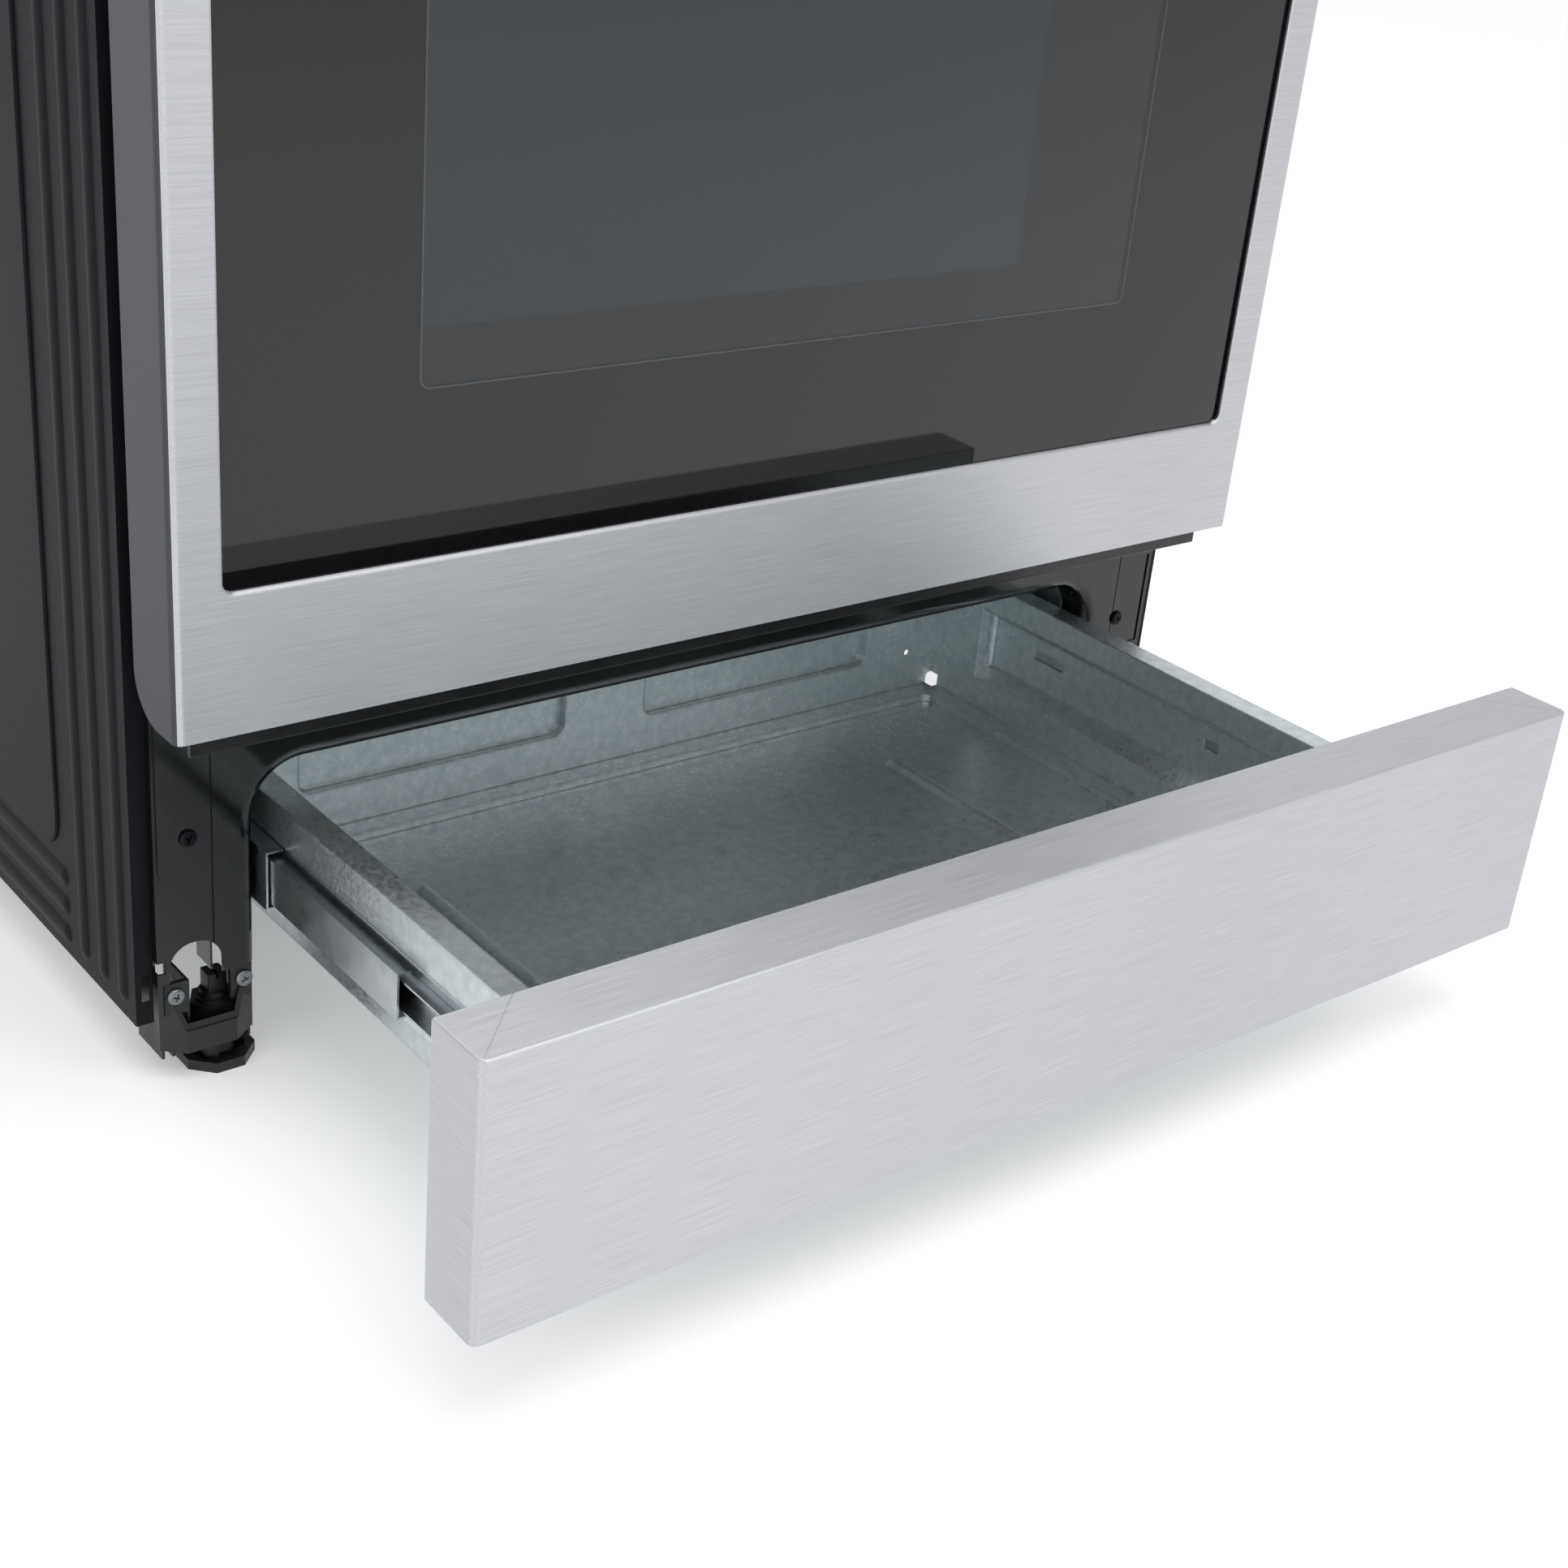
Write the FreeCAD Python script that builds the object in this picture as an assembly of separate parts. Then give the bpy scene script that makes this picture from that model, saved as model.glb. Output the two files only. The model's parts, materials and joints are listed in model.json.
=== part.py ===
"""Freestanding 30 inch gas range with its storage drawer pulled out.

Millimetres, +X to the right seen from the front, +Y towards the wall, +Z up.  Every piece is first drawn
with y = 0 on the face of the front frame and z = 0 on the floor, and moved at export so that the origin
lies on the floor under the middle of the whole range as it stands, drawer out.
"""
import FreeCAD, Part
import math
import os

V = FreeCAD.Vector

# ---------------------------------------------------------------------------------------------------------
# Driving dimensions
# ---------------------------------------------------------------------------------------------------------
body_width = 758.0            # side panel to side panel, over the flat sheet
body_depth = 600.0            # front frame's face to the back panel's outer face
cooktop_height = 914.0        # floor to the cooktop's rim
skirt_height = 37.0           # floor to the side panels' lower edge

sheet = 0.8                   # side panels, back panel, drawer box
frame_sheet = 1.2             # enamelled frames, oven liner, cooktop
skin_sheet = 1.0              # stainless fronts

door_width = body_width - 2.0
door_bottom = 228.0
door_depth = 46.0             # front face to the rear edge of the side returns
door_gap = 6.0                # front frame's face to the closed door
door_corner = 26.0            # rounding of the side returns' rear corners
door_fold = 5.0               # vertical front folds
window_border = 27.0          # door's edge to the window, left and right
window_sill = 75.0            # door's lower edge to the window
window_head = 108.0           # window's upper edge to the door's top
window_lip = 3.0              # depth of the rolled lip round the window
outer_glass = 4.0
inner_glass = 4.0
sight_border = 133.0          # door's edge to the see-through part of the inner panel
sight_head = 106.0            # how much lower the see-through part is than the window
sight_sill = 163.0            # door's lower edge to the see-through part

fascia_height = 130.0
fascia_drop = 28.0            # cooktop's rim to the fascia's top
fascia_door_gap = 8.0

drawer_front_height = 149.0
drawer_front_depth = 40.0
drawer_door_gap = 22.0        # drawer front's top to the door's lower edge
drawer_shown = 282.0          # how far the drawer stands out
box_side_gap = 27.0           # drawer box's inside to the frame's opening
box_length = 411.0
box_rim = 157.0               # height of the drawer box's rim
box_ledge = 64.0              # height of the ledge round the drawer floor
box_floor = 59.0
rim_width = 16.0
rim_lip = 23.0                # rim's lip, folded down
pocket_depth = 13.0           # side wall's bulge towards the slide

slide_height = 35.0
slide_thickness = 12.7
slide_bottom = 98.5
slide_sheet = 1.2
slide_length = 440.0

bay_post = 68.0               # body's side to the frame's opening
bay_top = 178.0
bay_corner = 30.0
bay_roll = 9.0                # radius of the opening's rolled edge
bay_lip = 22.0                # depth of the opening's return

oven_side = 79.0              # body's side to the oven's inside
oven_crown = 56.0             # oven's inside to the fascia's lower edge
oven_rear = 120.0
oven_floor_height = 286.0
oven_pan = 252.0              # oven liner's bottom, under the burner
rack_first = 59.0             # oven's floor to the lowest rack, and highest rack to its top
rack_last = 115.0
rack_in_use = {"rack_lower": 0, "rack_upper": 3}
guide_depth = 9.0
wool = 24.0                   # insulation thickness

hinge_inset = 39.0
hinge_y = -30.0
hinge_z = 240.0
hinge_pin = 3.0
arm_thickness = 6.0

fascia_front = -52.0
fascia_back = -22.0
knob_shares = (-300 / 379, -200 / 379, 0.0, 200 / 379, 300 / 379)
knob_height = 46.0            # fascia's lower fold to the knob centres, along the slope
knob_radius = 23.0
knob_depth = 26.0
knob_push = 3.0
stem_radius = 4.0
running_gap = 0.06            # radial gap of a turning fit
soft_gap = 0.3                # gap between faces that pass each other

leg_inset = 49.0
leg_front_y = 15.0
leg_rear_inset = 40.0         # rear legs' axis to the back panel
foot_across = 40.0
foot_height = 6.3

finger_pitch = 62.0           # spacing of the grates' fingers
burner_rows = 2               # fingers from the grates' middle to the front and rear burners

# ---------------------------------------------------------------------------------------------------------
# Derived places
# ---------------------------------------------------------------------------------------------------------
half_body = body_width / 2
half_door = door_width / 2
fascia_top = cooktop_height - fascia_drop
fascia_bottom = fascia_top - fascia_height
door_height = fascia_bottom - fascia_door_gap - door_bottom
window_height = door_height - window_sill - window_head
sight_half_width = half_door - sight_border
sight_height = window_height - sight_head
bay_half_width = half_body - bay_post
box_half_width = bay_half_width - box_side_gap
oven_half_width = half_body - oven_side
oven_top = fascia_bottom - oven_crown
oven_back = body_depth - oven_rear
rack_levels = [oven_floor_height + rack_first + step * (oven_top - oven_floor_height - rack_first - rack_last) / 4
               for step in range(5)]
hinge_x = half_body - hinge_inset
leg_x = half_body - leg_inset
knob_xs = [share * half_body for share in knob_shares]
door_front = -(door_depth + door_gap)
door_rear = -door_gap
door_top = door_bottom + door_height
window_half = half_door - window_border
window_low = door_bottom + window_sill
window_high = window_low + window_height
drawer_top = door_bottom - drawer_door_gap
drawer_bottom = drawer_top - drawer_front_height
drawer_front = door_front - drawer_shown
drawer_rear = drawer_front + drawer_front_depth
box_front = drawer_rear + soft_gap
box_back = box_front + box_length
half_post = half_body - 10.0
frame_top = 222.0
origin_shift = -(drawer_front + body_depth) / 2
fascia_angle = math.atan2(fascia_back - fascia_front, fascia_top - fascia_bottom)

# Fasteners
screw_head = 5.2
screw_head_height = 2.6
screw_shank = 2.0
screw_length = 7.0
screw_hole = 2.3
tab_screws = [(29.0 - half_body, -1.0, 148.0), (half_body - 38.0, -1.0, 148.0)]

# Outer case
side_front = 6.0              # side panel's front fold behind the frame's face
side_top = fascia_top - 2.0
vent_top = cooktop_height + 12.0   # flue trim, above the rim
bead_width = 13.0
bead_height = 1.8
bead_ys = (22.0, 47.0, 72.0)
bead_zs = (50.0, 68.0, 86.0)
field_start = (100.0, 98.0)   # front and lower edge of the raised field
field_corner = 22.0
gas_x = 230.0
power_x = -230.0
cord_hole = 6.0
cord_z = 262.0
bushing_wall = 4.0
back_screws = [(side * (half_body - 8.0), body_depth, share * side_top)
               for side in (-1, 1) for share in (0.113, 0.384, 0.678, 0.96)]

# Front frames and base
post_crease = half_body - 44  # inboard part of the post stands proud of the outboard strip
pad = 1.0
post_bottom = 61.8
louvre_pitch = 0.35 * body_width
louvre_offset = 31.0
louvre_size = (67.0, 12.0)
access_x = half_body - 32.0   # cut-outs over the front legs
rail_top = 216.0
rear_post_y = body_depth - leg_rear_inset - 5.0

# Levelling legs
tray_outer = half_body - 12   # outboard and inboard edges of the leg bracket
tray_inner = leg_x - 17.5
tray_front = -6.0
tray_floor = 19.0
tray_top = 61.5
nut_across = 25.0
column_radius = 8.0
lug = 11.0
leg_screws = [(-leg_x - 29.0, 0.0, 53.5), (-leg_x + 10.6, 0.0, 53.5)]

# Oven
lamp_x, lamp_z = 95.0 - oven_half_width, oven_top - 60.0
rack_front = 26.0
slat_count = 17

# Oven door
handle_z = door_top - 42.0
handle_reach = 59.0           # door's face to the handle's outer face
handle_size = (16.0, 25.0)    # depth and height of the bar
handle_half = half_door - 33.0
handle_post_x = half_door - 56.0
trim_drop = 15.0              # how far the lower trim hangs under the door
trim_y = (-37.5, -34.5)
plug_half = oven_half_width - 14.0
plug_low, plug_high = oven_floor_height + 11.0, oven_top - 10.0
plug_depth = 5.2
channel_wall = 1.5
door_screw_spots = [(side * (half_door - 16.0), door_rear, door_bottom + share * door_height)
                    for side in (-1, 1) for share in (0.2, 0.56, 0.9)]

# Storage drawer
drawer_screw_spots = [(side * (box_half_width - 44), box_front + sheet, sz)
                      for side in (-1, 1) for sz in (85.0, 135.0)]
slide_outer_x = bay_half_width - soft_gap
slide_step = 4.2              # height lost on each side from one member to the next

# Cooktop
cooktop_y = (fascia_back - 2.0, body_depth - 44.0)
well_depth = 12.0
well_floor = cooktop_height - well_depth
well_margin = 17.0            # rim's width at the sides
grate_top = cooktop_height + 31.0
grate_bar = 9.0
grate_y = (10.0, body_depth - 72.0)
grate_gap = 2.5
grate_half = half_body - well_margin - 3.0
grate_width = (2 * grate_half - 2 * grate_gap) / 3
grate_middle = sum(grate_y) / 2
burner_x = grate_half - grate_width / 2
front_y, rear_y = (grate_middle + side * burner_rows * finger_pitch for side in (-1, 1))
burners = {
    "front_left": (-burner_x, front_y, 40.0, 0.0),
    "rear_left": (-burner_x, rear_y, 33.0, 0.0),
    "centre": (0.0, grate_middle, 27.0, 60.0),
    "rear_right": (burner_x, rear_y, 33.0, 0.0),
    "front_right": (burner_x, front_y, 45.0, 0.0),
}
side_spans = ((-burner_rows, -burner_rows), (burner_rows, burner_rows))
grates = {
    "grate_left": ((-grate_half, -grate_half + grate_width), side_spans),
    "grate_centre": ((-grate_width / 2, grate_width / 2), ((-1, 1),)),
    "grate_right": ((grate_half - grate_width, grate_half), side_spans),
}

# Control panel, valves and knobs
display_along = 104.0
display_half = (110.0, 14.0)
fascia_rear = side_front - 0.5
valve_reach = 46.0
valve_body_radius = 11.0
manifold_y, manifold_z = 17.0, fascia_bottom + 30.0
manifold_radius = 8.0
outlet_y = -3.0
outlet_z = fascia_bottom + 47.5
tube_levels = [fascia_bottom + rise for rise in (96.0, 82.0, 62.0, 82.0, 96.0)]
gas_mouth = body_depth - 3.0
gas_thread = 9.3
gas_thread_depth = 18.0

parts = {}


# ---------------------------------------------------------------------------------------------------------
# Shape helpers
# ---------------------------------------------------------------------------------------------------------
def block(x, y, z):
    """A box from three (low, high) pairs."""
    return Part.makeBox(x[1] - x[0], y[1] - y[0], z[1] - z[0], V(x[0], y[0], z[0]))


def rod(radius, start, end):
    """A round bar between two points."""
    start, end = V(*start), V(*end)
    return Part.makeCylinder(radius, (end - start).Length, start, end - start)


def join(shapes):
    """One solid from several that touch or overlap."""
    shapes = list(shapes)
    return shapes[0].multiFuse(shapes[1:]).removeSplitter() if len(shapes) > 1 else shapes[0]


def mirrored(shape):
    """The same shape on the other side of the range."""
    return shape.mirror(V(0, 0, 0), V(1, 0, 0))


def middle(edge):
    """Point half way along an edge."""
    return edge.valueAt((edge.FirstParameter + edge.LastParameter) / 2)


def rounded(shape, radius, chosen):
    """Round the edges whose middle point is chosen."""
    return shape.makeFillet(radius, [edge for edge in shape.Edges if chosen(middle(edge))])


def rounded_block(x, y, z, radius, axis):
    """A box whose four edges along one axis are rounded."""
    solid = block(x, y, z)
    along = {"x": V(1, 0, 0), "y": V(0, 1, 0), "z": V(0, 0, 1)}[axis]
    edges = [e for e in solid.Edges if abs(abs(e.tangentAt(e.FirstParameter).dot(along)) - 1) < 1e-6]
    return solid.makeFillet(radius, edges)


def prism(points, x):
    """A straight bar along X with a cross-section given as (y, z) points."""
    corners = [V(x[0], y, z) for y, z in points]
    face = Part.Face(Part.makePolygon(corners + corners[:1]))
    return face.extrude(V(x[1] - x[0], 0, 0))


def plan(points, z):
    """An upright prism with an outline given as (x, y) points."""
    corners = [V(x, y, z[0]) for x, y in points]
    face = Part.Face(Part.makePolygon(corners + corners[:1]))
    return face.extrude(V(0, 0, z[1] - z[0]))


def octagon(centre, across, z):
    """An upright octagonal disc, measured across its flats."""
    reach = across / 2 / math.cos(math.pi / 8)
    angles = [math.pi / 8 + step * math.pi / 4 for step in range(8)]
    return plan([(centre[0] + reach * math.cos(a), centre[1] + reach * math.sin(a)) for a in angles], z)


def pipe(points, radius, bend, bore=0.0):
    """A round pipe or wire through the points, with bends of one radius."""
    points = [V(*p) for p in points]
    edges, last = [], points[0]
    for before, corner, after in zip(points, points[1:], points[2:]):
        into, out = (corner - before).normalize(), (after - corner).normalize()
        turn = into.getAngle(out)
        cut = bend * math.tan(turn / 2)
        first, second = corner - into * cut, corner + out * cut
        inward = (out - into).normalize()
        top = corner + inward * (bend / math.cos(turn / 2) - bend)
        edges += [Part.makeLine(last, first), Part.Arc(first, top, second).toShape()]
        last = second
    edges.append(Part.makeLine(last, points[-1]))
    path = Part.Wire(edges)
    heading = points[1] - points[0]
    solid = path.makePipeShell([Part.Wire(Part.makeCircle(radius, points[0], heading))], True, False)
    if bore:
        solid = solid.cut(path.makePipeShell([Part.Wire(Part.makeCircle(bore, points[0], heading))], True, False))
    return solid


def bead(start, end, width, height, face_x, thickness):
    """Outer and inner forms of a raised bead on a left-hand upright sheet, ends included."""
    radius = (width * width / 4 + height * height) / (2 * height)
    centre_x = face_x - height + radius
    forms = []
    for size in (radius, radius - thickness):
        a, b = V(centre_x, *start), V(centre_x, *end)
        form = rod(size, a, b).multiFuse([Part.makeSphere(size, a), Part.makeSphere(size, b)])
        forms.append(form)
    slab = block((face_x - height - 1, face_x + thickness), (-50, body_depth + 50), (0, cooktop_height))
    return forms[0].common(slab), forms[1]


def on_fascia(shape, x, along):
    """Place a shape drawn about the origin, +Z outwards, on the sloping control panel."""
    placed = shape.copy()
    tilt = 90 - math.degrees(fascia_angle)
    spot = V(x, fascia_front + along * math.sin(fascia_angle), fascia_bottom + along * math.cos(fascia_angle))
    placed.Placement = FreeCAD.Placement(spot, FreeCAD.Rotation(V(1, 0, 0), tilt))
    return placed


# ---------------------------------------------------------------------------------------------------------
# Fasteners
# ---------------------------------------------------------------------------------------------------------


def pan_screw():
    """A cross-recessed pan-head screw on the origin, its head standing on z = 0 and its shank below."""
    head = Part.makeCylinder(screw_head, screw_head_height)
    head = rounded(head, 1.6, lambda p: p.z > screw_head_height - 0.01)
    body = head.fuse(Part.makeCylinder(screw_shank, screw_length, V(0, 0, -screw_length)))
    arm, width, deep = 2.4, 0.9, 1.4
    for half_x, half_y in ((arm, width / 2), (width / 2, arm)):
        body = body.cut(block((-half_x, half_x), (-half_y, half_y), (screw_head_height - deep, screw_head_height)))
    return body


SCREW = pan_screw()


def screw_at(point, outward):
    """A screw with its head on a surface point, facing the outward direction."""
    turned = SCREW.copy()
    turned.Placement = FreeCAD.Placement(V(*point), FreeCAD.Rotation(V(0, 0, 1), V(*outward)))
    return turned


def screw_holes(shape, spots, outward, radius=screw_hole):
    """Clearance holes for screws through one sheet."""
    way = V(*outward)
    holes = [Part.makeCylinder(radius, 24, V(*spot) - way * 12, way) for spot in spots]
    return shape.cut(Part.makeCompound(holes))


# ---------------------------------------------------------------------------------------------------------
# Outer case
# ---------------------------------------------------------------------------------------------------------


def side_panel():
    """Left outer panel: folded sheet with raised beads along its front and foot and a raised field."""
    face_x = -half_body
    y, z = (side_front, body_depth - sheet), (skirt_height, side_top)
    skin = join([
        block((face_x, face_x + sheet), y, z),
        block((face_x, face_x + 10.0), (y[0], y[0] + sheet), z),
        block((face_x, face_x + 14.0), (y[1] - sheet, y[1]), z),
        block((face_x, face_x + 12.0), y, (z[1] - sheet, z[1])),
        block((face_x, face_x + 8.0), (y[0] + 30, y[1]), (z[0], z[0] + sheet)),
    ])
    rear = body_depth - 30.0
    runs = [((by, skirt_height + 15), (by, side_top - 20)) for by in bead_ys]
    runs += [((bead_ys[-1] + 25, bz), (rear, bz)) for bz in bead_zs]
    pressings = [bead(start, end, bead_width, bead_height, face_x, sheet) for start, end in runs]
    field = []
    for grow, far in ((0.0, bead_height), (sheet, bead_height - sheet)):
        form = rounded_block((face_x - far, face_x + sheet), (field_start[0] + grow, rear - grow),
                             (field_start[1] + grow, side_top - 40 - grow), field_corner, "x")
        field.append(form)
    raised = rounded(field[0], 1.5, lambda p: p.x < face_x - bead_height + 0.01)
    skin = skin.multiFuse([outer for outer, _ in pressings] + [raised])
    skin = skin.cut(Part.makeCompound([inner for _, inner in pressings] + [field[1]]))
    slot = block((face_x + 3.5, face_x + 8.0), (0, side_front + 5), (skirt_height + 14, skirt_height + 30))
    return screw_holes(skin.cut(slot), back_screws, (0, 1, 0)).removeSplitter()


def back_panel():
    """Rear sheet with cooling louvres and cut-outs for gas and power."""
    z = (60.0, side_top - 0.2)
    panel = block((-half_body + 2, half_body - 2), (body_depth - sheet, body_depth), z)
    slots = []
    for row in range(8):
        for column in (share * half_body for share in (-0.633, -0.211, 0.211, 0.633)):
            low = 0.34 * side_top + 0.0622 * side_top * row
            slots.append(rounded_block((column - 45, column + 45), (body_depth - 5, body_depth + 5),
                                       (low, low + 6), 2.9, "y"))
    panel = panel.cut(Part.makeCompound(slots))
    panel = panel.cut(rounded_block((gas_x - 45, gas_x + 45), (body_depth - 5, body_depth + 5), (59, 170), 8, "y"))
    cord = rod(cord_hole + bushing_wall + 0.2, (power_x, body_depth - 5, cord_z), (power_x, body_depth + 5, cord_z))
    return screw_holes(panel.cut(cord), back_screws, (0, 1, 0))


def rear_vent_trim():
    """Oven flue outlet along the cooktop's rear edge."""
    x, y, z = (-half_body, half_body), (cooktop_y[1] + soft_gap, body_depth), (side_top + soft_gap, vent_top)
    outer = rounded(block(x, y, z), 3.0, lambda p: p.z > z[1] - 0.01)
    inner = block((x[0] + frame_sheet, x[1] - frame_sheet), (y[0] + frame_sheet, y[1] - frame_sheet),
                  (z[0] - 1, z[1] - frame_sheet))
    trim = outer.cut(inner)
    slots = [rounded_block((sx - 26, sx + 26), (y[0] + 12, y[0] + 20), (z[1] - 5, z[1] + 1), 3.9, "z")
             for sx in (0.1583 * half_body * step for step in range(-5, 6))]
    return trim.cut(Part.makeCompound(slots))


# ---------------------------------------------------------------------------------------------------------
# Front frames and base
# ---------------------------------------------------------------------------------------------------------


def base_front_frame():
    """Enamelled frame round the drawer: two posts and a rail, the opening's edge rolled inwards."""
    crease, lift = post_crease + frame_sheet, -pad
    outer = block((-crease, crease), (lift, bay_lip), (post_bottom, frame_top))
    opening = rounded(block((-bay_half_width, bay_half_width), (-20, 60), (0, bay_top)), bay_corner,
                      lambda p: p.z > bay_top - 0.01 and abs(abs(p.x) - bay_half_width) < 0.01)
    outer = outer.cut(opening)
    outer = rounded(outer, bay_roll, lambda p: abs(p.y - lift) < 0.01 and p.z < bay_top + 0.01
                    and abs(p.x) < bay_half_width + 0.01)
    grown = bay_half_width + frame_sheet
    inner = block((-post_crease, post_crease), (lift + frame_sheet, bay_lip + 1), (0, frame_top + 5))
    keep = rounded(block((-grown, grown), (-20, 60), (-5, bay_top + frame_sheet)), bay_corner + frame_sheet,
                   lambda p: p.z > bay_top + frame_sheet - 0.01 and abs(abs(p.x) - grown) < 0.01)
    inner = inner.cut(keep)
    inner = rounded(inner, bay_roll - frame_sheet, lambda p: abs(p.y - lift - frame_sheet) < 0.01
                    and p.z < bay_top + frame_sheet + 0.01 and abs(p.x) < grown + 0.01)
    frame = outer.cut(inner)
    strips = []
    for side in (-1, 1):
        x = sorted((side * post_crease, side * half_post))
        edge = sorted((side * (half_post - frame_sheet), side * half_post))
        strips += [block(x, (0, frame_sheet), (post_bottom, frame_top)),
                   block(edge, (0, bay_lip), (post_bottom, frame_top))]
    frame = join([frame] + strips)
    louvres = [rounded_block((cx - louvre_size[0] / 2, cx + louvre_size[0] / 2), (-5, 5),
                             (bay_top + 18, bay_top + 18 + louvre_size[1]), 4.0, "y")
               for cx in (louvre_offset + step * louvre_pitch for step in (-1, 0, 1))]
    access = [rounded_block((side * access_x - 15, side * access_x + 15), (-5, 5), (post_bottom - 20, 84.0),
                            14.0, "y") for side in (-1, 1)]
    square = block((-half_post - 1, -half_post + 5), (-5, 5), (69, 76))
    frame = frame.cut(Part.makeCompound(louvres + access + [square]))
    return screw_holes(frame, tab_screws, (0, -1, 0))


def oven_front_frame():
    """Enamelled frame round the oven mouth, with two tabs screwed over the base posts."""
    y = (-pad, 0.0)
    face = block((-half_post, half_post), y, (frame_top + soft_gap, fascia_bottom - 2))
    mouth = rounded_block((-oven_half_width, oven_half_width), (-5, 5), (oven_floor_height, oven_top), 12.0, "y")
    tabs = [rounded(block(x, y, (118, frame_top + 1)), 14.0,
                    lambda p: p.z < 118.01 and abs(p.y + pad / 2) < 0.01)
            for x in ((-half_post + 2, -post_crease - 2), (post_crease + 2, half_post - 2))]
    face = join([face] + tabs).cut(mouth)
    slots = [block((side * hinge_x - 7, side * hinge_x + 7), (-5, 5), (hinge_z - 10, hinge_z + 10))
             for side in (-1, 1)]
    slots.append(rounded_block((half_body - 24, half_body - 14), (-5, 5), (127.0, 192.0), 1.0, "y"))
    face = face.cut(Part.makeCompound(slots))
    return screw_holes(face, tab_screws, (0, -1, 0))


def base_chassis():
    """Base structure: side rails with upright slide plates, rear posts, rear crossbar and the oven deck."""
    solids = []
    plate_x = bay_half_width
    for side in (-1, 1):
        plate = sorted((side * plate_x, side * (plate_x + sheet)))
        foot = sorted((side * plate_x, side * (half_post - 2)))
        wall = join([
            block(plate, (bay_lip + 2, rear_post_y - 0.2), (84.0, rail_top)),
            block(foot, (bay_lip + 2, rear_post_y - 0.2), (rail_top - sheet, rail_top)),
            block(foot, (60.0, body_depth - 80), (84.0, 84.0 + sheet)),
        ])
        post_x = sorted((side * (leg_x - 19), side * (half_post - 1)))
        post = block(post_x, (rear_post_y, body_depth - 2), (post_bottom, rail_top))
        hollow = block((post_x[0] + 1.5, post_x[1] - 1.5), (rear_post_y + 1.5, body_depth), (0, rail_top + 5))
        solids += [wall, post.cut(hollow)]
    crossbar = block((-leg_x + 20, leg_x - 20), (body_depth - 22, body_depth - 20), (180, rail_top))
    deck = block((-half_post + 2, half_post - 2), (bay_lip + 2, rear_post_y - 20),
                 (rail_top + soft_gap, rail_top + soft_gap + frame_sheet))
    return solids + [crossbar, deck]


# ---------------------------------------------------------------------------------------------------------
# Levelling legs
# ---------------------------------------------------------------------------------------------------------


def leg_bracket():
    """Front left moulded bracket: a walled tray with two screw ears and a captive hex boss."""
    outline = [(-tray_outer, 36), (-tray_outer, 4), (-tray_outer + 12, tray_front), (-tray_inner - 14, tray_front),
               (-tray_inner, 4), (-tray_inner, 36)]
    inside = [(-tray_outer + 2, 40), (-tray_outer + 2, 4.8), (-tray_outer + 12.6, tray_front + 2),
              (-tray_inner - 14.6, tray_front + 2), (-tray_inner - 2, 4.8), (-tray_inner - 2, 40)]
    tray = plan(outline, (tray_floor, tray_top)).cut(plan(inside, (tray_floor + 2.5, tray_top + 1)))
    slope = prism([(-40, 33), (tray_front + 1, 33), (3, tray_top + 1), (-40, tray_top + 1)],
                  (-half_body, -tray_inner + 5))
    tray = tray.cut(slope)
    behind = block((-tray_outer + 2, -tray_inner - 2), (0, 3), (42, tray_top))
    gap = block((-leg_x - 21, -leg_x + 3), (-5, 10), (30, tray_top + 5))
    ears = behind.cut(gap)
    partition = block((-leg_x - 22.5, -leg_x - 21), (0, 30), (tray_floor + 2, tray_top))
    hexagon = plan([(-leg_x + nut_across / math.sqrt(3) * math.cos(a), leg_front_y + nut_across / math.sqrt(3)
                     * math.sin(a)) for a in (math.pi / 3 * step for step in range(6))], (tray_floor, 37))
    neck = rod(10.5, (-leg_x, leg_front_y, 36), (-leg_x, leg_front_y, 39.5))
    ribs = [block((x, x + 1.6), (4, 34), (tray_floor - 6, tray_floor + 1))
            for x in (-tray_outer + 1, -tray_outer + 7, -tray_outer + 13, -tray_inner - 3)]
    bracket = join([tray, ears, partition, hexagon, neck] + ribs)
    bore = rod(column_radius + soft_gap, (-leg_x, leg_front_y, 0), (-leg_x, leg_front_y, 60))
    seats = [rod(screw_head + soft_gap, (x, y - 5, z), (x, y, z)) for x, y, z in leg_screws]
    bracket = bracket.cut(Part.makeCompound([bore] + seats))
    return screw_holes(bracket, leg_screws, (0, -1, 0), screw_shank + 0.1)


def leg():
    """Front left leg: octagonal foot with four ribs, round column and a square drive lug on top."""
    foot = octagon((-leg_x, leg_front_y), foot_across, (0, foot_height))
    well = rod(foot_across / 2 - 4, (-leg_x, leg_front_y, 3.2), (-leg_x, leg_front_y, foot_height + 1))
    column = rod(column_radius, (-leg_x, leg_front_y, 2), (-leg_x, leg_front_y, 43))
    neck = Part.makeCone(column_radius + 3.5, column_radius, 9, V(-leg_x, leg_front_y, 3))
    reach = foot_across / 2 - 1
    ribs = [block((-leg_x - reach, -leg_x + reach), (leg_front_y - 2.5, leg_front_y + 2.5), (2, foot_height)),
            block((-leg_x - 2.5, -leg_x + 2.5), (leg_front_y - reach, leg_front_y + reach), (2, foot_height))]
    drive = rounded_block((-leg_x - lug / 2, -leg_x + lug / 2), (leg_front_y - lug / 2, leg_front_y + lug / 2),
                          (42, 54), 1.0, "z")
    slot = block((-leg_x - 1, -leg_x + 1), (leg_front_y - 10, leg_front_y + 10), (51, 55))
    return join([foot.cut(well), column, neck, drive] + ribs).cut(slot)


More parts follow.
